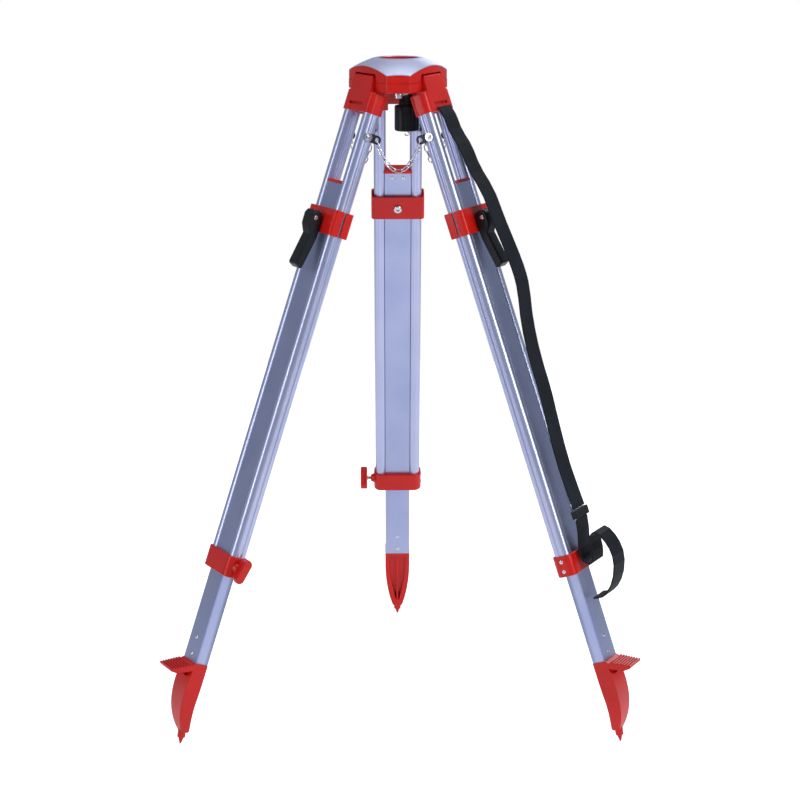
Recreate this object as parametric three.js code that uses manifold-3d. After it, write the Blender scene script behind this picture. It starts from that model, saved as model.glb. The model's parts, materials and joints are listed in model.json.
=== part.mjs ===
// Surveyor's tripod: a domed aluminium head on three telescopic aluminium legs with red fittings.
// Millimetres, +Z up. The origin is the point on the ground straight below the centre of the head.
// Each leg is built in its own frame: X points outward from the leg's face, Y across the leg, and
// Z up along it, with its origin on the hinge pin's axis. A group then tilts and turns that frame.
import * as THREE from 'three';
import { mergeVertices } from 'three/addons/utils/BufferGeometryUtils.js';
import Module from 'manifold-3d';

const wasm = await Module();
wasm.setup();

// ---- driving dimensions ----
const GAP = 0.35; // clearance between pieces that touch or slide

const HEAD_TOP = 1086; // height of the instrument seat above the ground
const HEAD_CORNER = 81; // centre to each short corner face
const HEAD_SIDE = 56.5; // centre to each hinge face, at its ends
const SIDE_BULGE = 5; // how far each hinge face bows outward at its middle
const OPENING_R = 32.6; // opening for the fixing screw
const PLATE_DROP = [0, 2.9, 9.3, 20.5]; // fall of the domed plate at the radii below
const PLATE_RADII = [37, 46, 61.5, 81.5]; // the seat is flat inside the first
const PLATE_THICK = 5;
const SEAM_DROP = 35; // joint between the head casting and its lower ring
const HEAD_DEPTH = 50; // seat to the underside of the lower ring

const LEG_TILT = THREE.MathUtils.degToRad(20);
const HINGE_R = 49; // hinge pins, out from the centre
const HINGE_Z = HEAD_TOP - SEAM_DROP;
const PIN_R = 5;
const PIN_HALF = 45;
const KNUCKLE_R = 12;
const TONGUE_HALF = 30.5;
const POCKET_HALF = 32;

const RAIL_OFFSET = 30; // each rail's centre from the leg's middle
const RAIL_HALF_WIDTH = 10;
const RAIL_HALF_DEPTH = 13.5;
const RAIL_WALL = 1.8;
const RAIL_TOP = -25;
const CASTING_SHOULDER = -20;
const CASTING_BOTTOM = -52.8;
const CASTING_HALF_WIDTH = 42.3;
const CASTING_HALF_DEPTH = 16;

const EXT_HALF_DEPTH = 11;
const EXT_WALL = 2;
const EXT_TOP = -171;
const CAP_HEIGHT = 5;
const FOOT_TOP = -972.8;
const FOOT_TIP_OFFSET = -17; // the point sits inward of the leg's middle plane
const FOOT_TIP = -(HINGE_Z + FOOT_TIP_OFFSET * Math.sin(LEG_TILT)) / Math.cos(LEG_TILT);

const COLLAR_TOP = -787;
const COLLAR_BOTTOM = -821;
const COLLAR_HALF_WIDTH = 42.8;
const THUMB_SHAFT_R = 2.6;
const THUMB_START = RAIL_OFFSET + RAIL_HALF_WIDTH + 0.6;
const WING_INNER = 55.5;
const WING_OUTER = 67.5;

const CLAMP_TOP = -213;
const CLAMP_BOTTOM = -254;
const CLAMP_HALF_WIDTH = 44.5;
const CLAMP_WALL = 2.5;
const CLAMP_FACE = 18; // outer plate's face from the leg's middle plane
const BOLT_Z = -234;
const BOLT_R = 4;
const CROSS_PIN_N = 31.5;
const CROSS_PIN_R = 3.5;
const LEVER_HALF_WIDTH = 13;
const LEVER_HUB_R = 12.4;

const TAB_Z = -89;
const TAB_THICK = 1.6;
const SCREW_ROUND = 14; // sides of small round pieces

// ---- solids ----
function toSolid(geometry) {
  geometry.deleteAttribute('normal');
  geometry.deleteAttribute('uv');
  const merged = mergeVertices(geometry, 1e-4);
  return new wasm.Manifold(new wasm.Mesh({
    numProp: 3,
    vertProperties: new Float32Array(merged.attributes.position.array),
    triVerts: new Uint32Array(merged.index.array),
  }));
}

function toGeometry(solid) {
  const { vertProperties, triVerts } = solid.getMesh();
  const geometry = new THREE.BufferGeometry();
  geometry.setAttribute('position', new THREE.BufferAttribute(new Float32Array(vertProperties), 3));
  geometry.setIndex(new THREE.BufferAttribute(new Uint32Array(triVerts), 1));
  return geometry;
}

// A flat outline in X-Y raised from z0 to z1.
function prism(shape, z0, z1, curveSegments = 2) {
  const geometry = new THREE.ExtrudeGeometry(shape, { depth: z1 - z0, bevelEnabled: false, curveSegments });
  geometry.translate(0, 0, z0);
  return toSolid(geometry);
}

// A side outline given in X (outward) and Z (up), spread across Y from y0 to y1.
function sideProfile(shape, y0, y1, curveSegments = 4) {
  const geometry = new THREE.ExtrudeGeometry(shape, { depth: y1 - y0, bevelEnabled: false, curveSegments });
  geometry.rotateX(Math.PI / 2);
  geometry.translate(0, y1, 0);
  return toSolid(geometry);
}

// A front outline given in Y (across) and Z (up), spread along X from x0 to x1.
function frontProfile(shape, x0, x1, curveSegments = 4) {
  const geometry = new THREE.ExtrudeGeometry(shape, { depth: x1 - x0, bevelEnabled: false, curveSegments });
  geometry.rotateX(Math.PI / 2);
  geometry.rotateZ(Math.PI / 2);
  geometry.translate(x0, 0, 0);
  return toSolid(geometry);
}

function box(x0, x1, y0, y1, z0, z1) {
  const geometry = new THREE.BoxGeometry(x1 - x0, y1 - y0, z1 - z0);
  geometry.translate((x0 + x1) / 2, (y0 + y1) / 2, (z0 + z1) / 2);
  return toSolid(geometry);
}

// A turned piece about Z from (radius, height) pairs that start and end on the axis.
function turned(points, sides = SCREW_ROUND) {
  const geometry = new THREE.LatheGeometry(points.map(([r, z]) => new THREE.Vector2(r, z)), sides);
  geometry.rotateX(Math.PI / 2);
  return toSolid(geometry);
}

function rod(radius, z0, z1, sides = SCREW_ROUND) {
  return turned([[0, z0], [radius, z0], [radius, z1], [0, z1]], sides);
}

function alongX(solid) {
  return solid.rotate([0, 90, 0]);
}

function alongY(solid) {
  return solid.rotate([-90, 0, 0]);
}

// ---- outlines ----
function polygon(points) {
  return new THREE.Shape(points.map(([x, y]) => new THREE.Vector2(x, y)));
}

function roundedRect(halfX, halfY, radius) {
  const shape = new THREE.Shape();
  const cx = halfX - radius;
  const cy = halfY - radius;
  shape.absarc(cx, cy, radius, 0, Math.PI / 2, false);
  shape.absarc(-cx, cy, radius, Math.PI / 2, Math.PI, false);
  shape.absarc(-cx, -cy, radius, Math.PI, 1.5 * Math.PI, false);
  shape.absarc(cx, -cy, radius, 1.5 * Math.PI, 2 * Math.PI, false);
  return shape;
}

// A rail's rounded outline, centred at y, grown by `grow` all round.
function railOutline(y, grow) {
  const r = RAIL_HALF_WIDTH + grow;
  const straight = RAIL_HALF_DEPTH - RAIL_HALF_WIDTH;
  const shape = new THREE.Shape();
  shape.absarc(straight, y, r, -Math.PI / 2, Math.PI / 2, false);
  shape.absarc(-straight, y, r, Math.PI / 2, 1.5 * Math.PI, false);
  return shape;
}

// The extension's outline: flat faces in and out, with a groove down each side that hugs a rail.
function grooveOutline(halfDepth, clearance) {
  const r = RAIL_HALF_WIDTH + clearance;
  const straight = RAIL_HALF_DEPTH - RAIL_HALF_WIDTH;
  const reach = Math.asin((halfDepth - straight) / r);
  const shape = new THREE.Shape();
  shape.absarc(straight, RAIL_OFFSET, r, -Math.PI / 2 + reach, -Math.PI / 2, true);
  shape.absarc(-straight, RAIL_OFFSET, r, -Math.PI / 2, -Math.PI / 2 - reach, true);
  shape.absarc(-straight, -RAIL_OFFSET, r, Math.PI / 2 + reach, Math.PI / 2, true);
  shape.absarc(straight, -RAIL_OFFSET, r, Math.PI / 2, Math.PI / 2 - reach, true);
  return shape;
}

// The head's plan: three short corner faces and three long hinge faces that bow outward.
function headOutline(shrink = 0) {
  const corner = HEAD_CORNER - shrink;
  const side = HEAD_SIDE - shrink;
  const half = (side - corner / 2) / Math.cos(Math.PI / 6);
  const shape = new THREE.Shape();
  const cornerAngles = [-90, 30, 150].map(THREE.MathUtils.degToRad);
  cornerAngles.forEach((angle, i) => {
    const out = new THREE.Vector2(Math.cos(angle), Math.sin(angle));
    const across = new THREE.Vector2(-out.y, out.x);
    const start = out.clone().multiplyScalar(corner).addScaledVector(across, -half);
    const end = out.clone().multiplyScalar(corner).addScaledVector(across, half);
    if (i === 0) shape.moveTo(start.x, start.y);
    else shape.lineTo(start.x, start.y);
    shape.lineTo(end.x, end.y);
    const next = angle + Math.PI / 3;
    const control = new THREE.Vector2(Math.cos(next), Math.sin(next)).multiplyScalar(side + 2 * SIDE_BULGE);
    const nextCorner = angle + (2 * Math.PI) / 3;
    const nextOut = new THREE.Vector2(Math.cos(nextCorner), Math.sin(nextCorner));
    const nextStart = nextOut.clone().multiplyScalar(corner)
      .addScaledVector(new THREE.Vector2(-nextOut.y, nextOut.x), -half);
    shape.quadraticCurveTo(control.x, control.y, nextStart.x, nextStart.y);
  });
  return shape;
}

// ---- materials ----
const paint = { red: '#c2201c', metal: '#aeb6d6', steel: '#c9ccd2', black: '#15181f', web: '#12151c' };
const finish = {
  paintedRed: new THREE.MeshStandardMaterial({ color: paint.red, roughness: 0.38, metalness: 0 }),
  aluminium: new THREE.MeshStandardMaterial({ color: paint.metal, roughness: 0.34, metalness: 0.9 }),
  steel: new THREE.MeshStandardMaterial({ color: paint.steel, roughness: 0.22, metalness: 1 }),
  blackPlastic: new THREE.MeshStandardMaterial({ color: paint.black, roughness: 0.4, metalness: 0 }),
  webbing: new THREE.MeshStandardMaterial({ color: paint.web, roughness: 0.85, metalness: 0 }),
};

function piece(name, solid, material) {
  const mesh = new THREE.Mesh(toGeometry(solid), material);
  mesh.name = name;
  return mesh;
}

const tripod = new THREE.Group();

// ---- the head ----
// A domed annulus between the opening and `radius`, lowered by `drop`.
function domeSolid(drop, floor) {
  const rim = PLATE_RADII.map((r, i) => [r, HEAD_TOP - PLATE_DROP[i] - drop]);
  return turned([[0, floor], [PLATE_RADII[3] + 12, floor],
    [PLATE_RADII[3] + 12, rim[3][1] - 7.5], ...rim.slice().reverse(), [0, rim[0][1]]], 60);
}

// One leg's pocket in the head, open below and outward, for the knuckle to turn in.
function pocketSolid(azimuth) {
  const top = HINGE_Z + KNUCKLE_R + 0.9;
  return box(HINGE_R - KNUCKLE_R - 1, 90, -POCKET_HALF, POCKET_HALF, HEAD_TOP - HEAD_DEPTH - 1, top)
    .rotate([0, 0, azimuth]);
}

function pinSolid(azimuth, radius, half) {
  return alongY(rod(radius, -half, half)).translate([HINGE_R, 0, HINGE_Z]).rotate([0, 0, azimuth]);
}

const LEGS = { rear: 90, left: 210, right: 330 };
const HEAD_BOTTOM = HEAD_TOP - HEAD_DEPTH;
const SEAM = HEAD_TOP - SEAM_DROP;
const RING_STEP = 0.6; // the lower ring stands a little proud of the casting
const plan = prism(headOutline(), HEAD_BOTTOM - 5, HEAD_TOP + 5, 6);
const opening = rod(OPENING_R, HEAD_BOTTOM - 6, HEAD_TOP + 6, 48);

// Cuts the three pockets, the pins' half-round seats and the central opening out of a head piece.
function carve(solid) {
  let carved = solid.subtract(opening);
  for (const azimuth of Object.values(LEGS)) {
    carved = carved.subtract(pocketSolid(azimuth)).subtract(pinSolid(azimuth, PIN_R + GAP, PIN_HALF + GAP));
  }
  return carved;
}

const topPlate = plan.intersect(domeSolid(0, HEAD_TOP - 60))
  .subtract(domeSolid(PLATE_THICK, HEAD_TOP - 61))
  .subtract(opening);
const upperHalf = carve(plan.intersect(domeSolid(PLATE_THICK + GAP, SEAM + GAP / 2)));
const lowerRing = carve(prism(headOutline(-RING_STEP), HEAD_BOTTOM, SEAM - GAP / 2, 6));

tripod.add(piece('head_top_plate', topPlate, finish.aluminium));
tripod.add(piece('head_casting', upperHalf, finish.paintedRed));

// The arm under the head that carries the fixing screw: it swings about a screw in the front corner.
const ARM_TOP = HEAD_TOP - HEAD_DEPTH - 1.2;
const ARM_THICK = 4;
const ARM_PIVOT_Y = -62;
const ARM_END_Y = 32;
const ARM_REST = THREE.MathUtils.degToRad(-13); // how far the arm happens to be swung aside
const ARM_HALF_WIDTH = 11;
const SLOT_HALF = 4.6;
const SLOT_REACH = 21;
const armOutline = new THREE.Shape();
armOutline.absarc(0, ARM_END_Y - ARM_HALF_WIDTH, ARM_HALF_WIDTH, 0, Math.PI, false);
armOutline.absarc(0, ARM_PIVOT_Y, 7.5, Math.PI, 2 * Math.PI, false);
const armSlot = new THREE.Shape();
armSlot.absarc(0, SLOT_REACH - SLOT_HALF, SLOT_HALF, 0, Math.PI, false);
armSlot.absarc(0, -SLOT_REACH + SLOT_HALF, SLOT_HALF, Math.PI, 2 * Math.PI, false);
const arm = prism(armOutline, ARM_TOP - ARM_THICK, ARM_TOP)
  .subtract(prism(armSlot, ARM_TOP - ARM_THICK - 1, ARM_TOP + 1))
  .subtract(rod(3.4, ARM_TOP - 10, ARM_TOP + 1).translate([0, ARM_PIVOT_Y, 0]));

const PIVOT_DEPTH = 9;
const pivotScrew = turned([[0, ARM_TOP - ARM_THICK - 3.6], [5.2, ARM_TOP - ARM_THICK - 3.6],
  [6, ARM_TOP - ARM_THICK - 2.6], [6, ARM_TOP - ARM_THICK - GAP], [3, ARM_TOP - ARM_THICK - GAP],
  [3, ARM_TOP + PIVOT_DEPTH], [0, ARM_TOP + PIVOT_DEPTH]]).translate([0, ARM_PIVOT_Y, 0]);
const pivotHole = rod(3 + GAP, ARM_TOP, ARM_TOP + PIVOT_DEPTH + 1.2 + GAP).translate([0, ARM_PIVOT_Y, 0]);
tripod.add(piece('head_lower_ring', lowerRing.subtract(pivotHole), finish.paintedRed));

// Everything on the arm is built with the arm straight, and this group then swings it aside.
const armGroup = new THREE.Group();
armGroup.rotation.z = ARM_REST;
armGroup.position.set(ARM_PIVOT_Y * Math.sin(ARM_REST), ARM_PIVOT_Y * (1 - Math.cos(ARM_REST)), 0);
tripod.add(armGroup);
armGroup.add(piece('screw_arm', arm, finish.steel));
tripod.add(piece('arm_pivot_screw', pivotScrew, finish.steel));

// The slider clips into the arm's slot, and the hollow fixing screw turns in it.
const STUD_R = 6;
const STUD_BORE = 3.4;
const SLIDER_HALF = SLOT_HALF - GAP;
const sliderFlange = 11;
const slider = prism(roundedRect(9.5, 9.5, 3), ARM_TOP + GAP, ARM_TOP + 3.2)
  .add(box(-SLIDER_HALF, SLIDER_HALF, -6, 6, ARM_TOP - ARM_THICK - 1, ARM_TOP + 1))
  .add(turned([[0, ARM_TOP - ARM_THICK - 3.2], [sliderFlange, ARM_TOP - ARM_THICK - 3.2],
    [sliderFlange, ARM_TOP - ARM_THICK - GAP], [0, ARM_TOP - ARM_THICK - GAP]], 20))
  .subtract(rod(3.4, ARM_TOP - 20, ARM_TOP + 20));
armGroup.add(piece('screw_slider', slider, finish.steel));

// The stud is waisted where it passes the slot and full size above, where the instrument screws on.
const KNOB_TOP = ARM_TOP - ARM_THICK - 3.2 - GAP;
const STUD_TOP = HEAD_TOP - 12;
const NECK_R = 3.4 - GAP;
const stud = turned([[0, KNOB_TOP - 3.4], [NECK_R, KNOB_TOP - 3.4], [NECK_R, ARM_TOP + 3.2 + GAP],
  [STUD_R, ARM_TOP + 3.2 + GAP], [STUD_R, STUD_TOP - 1.2], [STUD_R - 1.2, STUD_TOP], [0, STUD_TOP]], 20);
armGroup.add(piece('fixing_screw', stud, finish.steel));

// The knob: a plain upper barrel, then a wider fluted grip that is closed below but for its socket.
const KNOB_NECK_R = 13;
const KNOB_NECK_LENGTH = 17;
const KNOB_GRIP_R = 20;
const KNOB_GRIP_LENGTH = 41;
const KNOB_BOTTOM = KNOB_TOP - KNOB_NECK_LENGTH - KNOB_GRIP_LENGTH;
let knob = turned([[0, KNOB_BOTTOM], [KNOB_GRIP_R - 2.5, KNOB_BOTTOM], [KNOB_GRIP_R, KNOB_BOTTOM + 3],
  [KNOB_GRIP_R, KNOB_TOP - KNOB_NECK_LENGTH - 2], [KNOB_GRIP_R - 2, KNOB_TOP - KNOB_NECK_LENGTH],
  [KNOB_NECK_R, KNOB_TOP - KNOB_NECK_LENGTH], [KNOB_NECK_R, KNOB_TOP - 1.5], [KNOB_NECK_R - 1.5, KNOB_TOP],
  [0, KNOB_TOP]], 30);
const FLUTES = 10;
for (let i = 0; i < FLUTES; i += 1) {
  const angle = ((i + 0.5) / FLUTES) * 2 * Math.PI;
  const fluteR = KNOB_GRIP_R + 1.6;
  knob = knob.subtract(rod(3, KNOB_BOTTOM - 1, KNOB_BOTTOM + KNOB_GRIP_LENGTH - 6, 8)
    .translate([fluteR * Math.cos(angle), fluteR * Math.sin(angle), 0]));
}
const HOOK_SOCKET_R = 4;
knob = knob.subtract(rod(NECK_R + GAP, KNOB_TOP - 3.4 - GAP, KNOB_TOP + 1))
  .subtract(rod(HOOK_SOCKET_R, KNOB_BOTTOM - 1, KNOB_BOTTOM + 12));
armGroup.add(piece('screw_knob', knob, finish.blackPlastic));

// A wire hook for the plumb line, on a plug in the knob's socket.
const hookPath = new THREE.CurvePath();
hookPath.add(new THREE.LineCurve3(new THREE.Vector3(0, 0, 2), new THREE.Vector3(0, 0, -0.6)));
hookPath.add(new THREE.CubicBezierCurve3(new THREE.Vector3(0, 0, -0.6), new THREE.Vector3(4.6, 0, -2.4),
  new THREE.Vector3(4.2, 0, -8), new THREE.Vector3(-0.4, 0, -7.6)));
hookPath.add(new THREE.CubicBezierCurve3(new THREE.Vector3(-0.4, 0, -7.6), new THREE.Vector3(-2.4, 0, -7.4),
  new THREE.Vector3(-3.4, 0, -6.2), new THREE.Vector3(-3.2, 0, -4.6)));
const wireSection = new THREE.Shape();
wireSection.absarc(0, 0, 0.9, 0, 2 * Math.PI, false);
const hookWire = toSolid(new THREE.ExtrudeGeometry(wireSection, {
  steps: 14, extrudePath: hookPath, bevelEnabled: false, curveSegments: 3,
})).translate([0, 0, KNOB_BOTTOM]);
const hook = rod(HOOK_SOCKET_R - GAP, KNOB_BOTTOM + 0.6, KNOB_BOTTOM + 11).add(hookWire);
armGroup.add(piece('plumb_hook', hook, finish.steel));

for (const [side, azimuth] of Object.entries(LEGS)) {
  tripod.add(piece(`hinge_pin_${side}`, pinSolid(azimuth, PIN_R, PIN_HALF), finish.steel));
}

// ---- one leg, in its own frame ----
// Knuckle and tongue in the head's pocket, then a wider socket piece that holds both rails.
function hingeCasting() {
  const knuckle = alongY(rod(KNUCKLE_R, -TONGUE_HALF, TONGUE_HALF, 28));
  const tongue = box(-KNUCKLE_R, KNUCKLE_R, -TONGUE_HALF, TONGUE_HALF, CASTING_SHOULDER - 4, 0);
  const socket = prism(roundedRect(CASTING_HALF_DEPTH, CASTING_HALF_WIDTH, 12.5), CASTING_BOTTOM,
    CASTING_SHOULDER);
  let casting = socket.add(tongue).add(knuckle)
    .subtract(alongY(rod(PIN_R + GAP, -TONGUE_HALF - 1, TONGUE_HALF + 1, 16)));
  for (const y of [-RAIL_OFFSET, RAIL_OFFSET]) {
    casting = casting.subtract(prism(railOutline(y, GAP), CASTING_BOTTOM - 1, RAIL_TOP + GAP, 4));
  }
  // the strap's slot across the outer face, and the hollow behind the web
  return casting
    .subtract(box(CASTING_HALF_DEPTH - 4, 20, -20.5, 20.5, -43, -38.5))
    .subtract(box(-20, CASTING_HALF_DEPTH - 8, -16, 16, CASTING_BOTTOM - 1, -30));
}

function rail(y) {
  return prism(railOutline(y, 0), COLLAR_BOTTOM + 4, RAIL_TOP, 4)
    .subtract(prism(railOutline(y, -RAIL_WALL), COLLAR_BOTTOM, RAIL_TOP + 1, 4));
}

function collar() {
  const outside = prism(roundedRect(17.5, COLLAR_HALF_WIDTH, 12.8), COLLAR_BOTTOM, COLLAR_TOP);
  const boss = alongY(turned([[0, COLLAR_HALF_WIDTH - 8], [9, COLLAR_HALF_WIDTH - 8],
    [9, COLLAR_HALF_WIDTH - 1], [5, COLLAR_HALF_WIDTH + 6], [0, COLLAR_HALF_WIDTH + 6]]))
    .translate([0, 0, (COLLAR_TOP + COLLAR_BOTTOM) / 2]);
  let body = outside.add(boss).subtract(prism(grooveOutline(EXT_HALF_DEPTH + 0.6, -0.2),
    COLLAR_BOTTOM - 1, COLLAR_TOP + 1));
  for (const y of [-RAIL_OFFSET, RAIL_OFFSET]) {
    body = body.subtract(prism(railOutline(y, GAP), COLLAR_BOTTOM + 4 - GAP, COLLAR_TOP + 1, 4));
  }
  return body.subtract(alongY(rod(THUMB_SHAFT_R + GAP, 30, 60))
    .translate([0, 0, (COLLAR_TOP + COLLAR_BOTTOM) / 2]));
}

// The wing screw that locks the extension at the collar.
function thumbScrew(turn) {
  const shaft = alongY(rod(THUMB_SHAFT_R, THUMB_START, WING_INNER + 4));
  const wingOutline = new THREE.Shape();
  wingOutline.absellipse(0, 0, 10.5, 20.5, 0, 2 * Math.PI, false);
  const wing = sideProfile(wingOutline, WING_INNER, WING_OUTER, 10);
  const dish = alongY(rod(60, -30, 30, 60)).rotate([90, 0, 0]).translate([60 + 6.6, WING_OUTER, 0]);
  const otherDish = dish.mirror([1, 0, 0]);
  return shaft.add(wing.subtract(dish.trimByPlane([0, 1, 0], WING_INNER + 3))
    .subtract(otherDish.trimByPlane([0, 1, 0], WING_INNER + 3)))
    .rotate([0, turn, 0]).translate([0, 0, (COLLAR_TOP + COLLAR_BOTTOM) / 2]);
}

function extensionTube() {
  const bore = roundedRect(EXT_HALF_DEPTH - EXT_WALL, RAIL_OFFSET - RAIL_HALF_WIDTH - 0.6 - EXT_WALL, 1);
  const boltHole = alongX(rod(BOLT_R + GAP, -20, 20)).translate([0, 0, BOLT_Z]);
  return prism(grooveOutline(EXT_HALF_DEPTH, 0.6), FOOT_TOP, EXT_TOP)
    .subtract(prism(bore, FOOT_TOP - 1, EXT_TOP + 1, 1))
    .subtract(boltHole);
}

function extensionCap() {
  const lid = prism(grooveOutline(EXT_HALF_DEPTH + 0.8, 0.6), EXT_TOP + GAP, EXT_TOP + CAP_HEIGHT - 2);
  const crown = prism(grooveOutline(EXT_HALF_DEPTH - 1, 1.6), EXT_TOP + CAP_HEIGHT - 3, EXT_TOP + CAP_HEIGHT);
  const plug = prism(roundedRect(EXT_HALF_DEPTH - EXT_WALL - GAP, 17, 1), EXT_TOP - 18, EXT_TOP + 1, 1)
    .subtract(prism(roundedRect(EXT_HALF_DEPTH - EXT_WALL - 2.5, 14.8, 1), EXT_TOP - 19, EXT_TOP - 1, 1));
  return lid.add(crown).add(plug);
}

// A clamp plate with its web at x0..x1 and a side flange from the web to `edge` on both sides.
function clampPlate(webFace, edge) {
  const sign = Math.sign(webFace);
  const depth = Math.abs(webFace - edge);
  const shell = roundedRect(depth, CLAMP_HALF_WIDTH, 6);
  const inner = roundedRect(depth - CLAMP_WALL * 1.4, CLAMP_HALF_WIDTH - CLAMP_WALL, 4.5);
  let plate = prism(shell, CLAMP_BOTTOM, CLAMP_TOP).subtract(prism(inner, CLAMP_BOTTOM - 1, CLAMP_TOP + 1));
  plate = plate.trimByPlane([sign, 0, 0], 0);
  return plate.translate([edge, 0, 0])
    .subtract(alongX(rod(BOLT_R + GAP, -40, 40)).translate([0, 0, BOLT_Z]));
}

function clampBolt() {
  const shank = rod(BOLT_R, -CLAMP_FACE - 3.6, CROSS_PIN_N + 1.5);
  const head = turned([[0, -CLAMP_FACE - 3.8], [5.4, -CLAMP_FACE - 3.8], [6.8, -CLAMP_FACE - 2.4],
    [6.8, -CLAMP_FACE + 0.25], [0, -CLAMP_FACE + 0.25]]);
  const crossPin = alongY(rod(CROSS_PIN_R, -LEVER_HALF_WIDTH - 0.8, LEVER_HALF_WIDTH + 0.8))
    .translate([CROSS_PIN_N, 0, 0]);
  return alongX(shank.add(head)).add(crossPin).translate([0, 0, BOLT_Z]);
}

// The cam lever: a rounded hub round the cross pin, then a blade that knees away from the leg.
const LEVER_LENGTH = 78;
function camLever() {
  const side = new THREE.Shape();
  side.absarc(0, 0, LEVER_HUB_R, Math.PI, 0.42 * Math.PI, true);
  side.lineTo(6.6, 7);
  side.lineTo(6, -5);
  side.lineTo(-3.4, -25.5);
  side.lineTo(11, -LEVER_LENGTH + 6);
  side.lineTo(10, -LEVER_LENGTH + 2);
  side.lineTo(5.6, -LEVER_LENGTH);
  side.lineTo(2.6, -LEVER_LENGTH + 2.5);
  side.lineTo(-7.2, -48);
  side.lineTo(-12.2, -29);
  side.lineTo(-12.4, -18);
  const body = sideProfile(side, -LEVER_HALF_WIDTH, LEVER_HALF_WIDTH, 5);
  const slotHalf = BOLT_R + 0.9;
  const reach = LEVER_HUB_R + 2;
  const slot = box(-reach, BOLT_R + 0.9, -slotHalf, slotHalf, -BOLT_R - 1.2, reach);
  return body.subtract(slot)
    .subtract(alongY(rod(CROSS_PIN_R + GAP, -LEVER_HALF_WIDTH - 1, LEVER_HALF_WIDTH + 1)))
    .translate([CROSS_PIN_N, 0, BOLT_Z]);
}

// The cast foot: a plug in the extension, a spade-shaped body, a ribbed pedal and a point.
const PEDAL_LENGTH = 46;
function foot() {
  const body = new THREE.Shape();
  const low = FOOT_TIP + 16;
  body.moveTo(-EXT_HALF_DEPTH - 0.8, FOOT_TOP - GAP);
  body.lineTo(-EXT_HALF_DEPTH - 0.8, FOOT_TOP - 66);
  body.quadraticCurveTo(-13, low + 26, -22, low + 2);
  body.lineTo(-20, low - 1);
  body.lineTo(-9, low - 1);
  body.quadraticCurveTo(15, low + 26, 15.5, FOOT_TOP - 46);
  body.quadraticCurveTo(15.5, FOOT_TOP - 22, EXT_HALF_DEPTH + 0.8, FOOT_TOP - 6);
  body.lineTo(EXT_HALF_DEPTH + 0.8, FOOT_TOP - GAP);
  const spade = new THREE.Shape();
  spade.moveTo(-22.6, FOOT_TOP + 2);
  spade.lineTo(-22.6, FOOT_TOP - 22);
  spade.quadraticCurveTo(-22.6, low + 30, -7, low - 2);
  spade.lineTo(7, low - 2);
  spade.quadraticCurveTo(22.6, low + 30, 22.6, FOOT_TOP - 22);
  spade.lineTo(22.6, FOOT_TOP + 2);
  let solid = sideProfile(body, -24, 24, 6).intersect(frontProfile(spade, -40, 40, 6));
  // two hollows in the inner face, with a rib left between them
  for (const side of [-1, 1]) {
    const panel = new THREE.Shape();
    panel.moveTo(side * 1.6, FOOT_TOP - 3);
    panel.lineTo(side * 15, FOOT_TOP - 3);
    panel.quadraticCurveTo(side * 17, FOOT_TOP - 50, side * 3, low + 14);
    panel.lineTo(side * 1.6, low + 14);
    solid = solid.subtract(frontProfile(panel, -30, -EXT_HALF_DEPTH + 3.4, 4));
  }
  const plug = prism(roundedRect(EXT_HALF_DEPTH - EXT_WALL - GAP, 17, 1), FOOT_TOP - 1, FOOT_TOP + 52, 1);
  // the pedal is level when the leg stands at its usual tilt
  const pedal = new THREE.Shape();
  pedal.moveTo(2, -9);
  pedal.lineTo(PEDAL_LENGTH - 9, -8);
  pedal.lineTo(PEDAL_LENGTH, -2.5);
  pedal.lineTo(PEDAL_LENGTH, 1.2);
  const pitch = 5.2;
  for (let i = 0; i < 7; i += 1) {
    const x = PEDAL_LENGTH - i * pitch;
    pedal.lineTo(x - 0.4, 2.2);
    pedal.lineTo(x - 3, 2.2);
    pedal.lineTo(x - 3.8, 0);
    pedal.lineTo(x - 4.6, 0);
  }
  pedal.lineTo(2, 2.2);
  const web = polygon([[0, -8], [26, -8], [12, -22], [0, -34]]);
  const step = sideProfile(pedal, -22.6, 22.6, 2).add(sideProfile(web, -9, 9, 2))
    .rotate([0, THREE.MathUtils.radToDeg(LEG_TILT), 0])
    .translate([EXT_HALF_DEPTH - 3, 0, FOOT_TOP - 1])
    .trimByPlane([1, 0, 0], EXT_HALF_DEPTH + GAP);
  const point = turned([[0, 0], [1.6, 2], [5, 10], [5, 26], [0, 26]], 16)
    .rotate([0, THREE.MathUtils.radToDeg(LEG_TILT) * 0.5, 0])
    .translate([FOOT_TIP_OFFSET, 0, FOOT_TIP]);
  return solid.add(plug).add(step).add(point);
}

// A steel tab on a rail's side that holds one end of a chain.
const TAB_BACK = RAIL_OFFSET + RAIL_HALF_WIDTH + GAP;
const TAB_EYE_N = -17;
function chainTab(side) {
  const outline = new THREE.Shape();
  outline.absarc(0, 0, 7.5, -Math.PI / 2, Math.PI / 2, false);
  outline.absarc(TAB_EYE_N, 0, 7.5, Math.PI / 2, 1.5 * Math.PI, false);
  const plate = sideProfile(outline, TAB_BACK, TAB_BACK + TAB_THICK, 3);
  const screw = alongY(turned([[0, TAB_BACK + 0.6], [4.4, TAB_BACK + 0.6], [4.4, TAB_BACK + TAB_THICK + 1.4],
    [3, TAB_BACK + TAB_THICK + 2.6], [0, TAB_BACK + TAB_THICK + 2.6]]));
  const eye = alongY(rod(3.6, TAB_BACK - 1, TAB_BACK + 8)).translate([TAB_EYE_N, 0, 0]);
  const tab = plate.add(screw).subtract(eye).translate([0, 0, TAB_Z]);
  return side > 0 ? tab : tab.mirror([0, 1, 0]);
}

const THUMB_TURN = { rear: 48, left: 4, right: 30 }; // how far each wing screw happens to be turned

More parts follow.
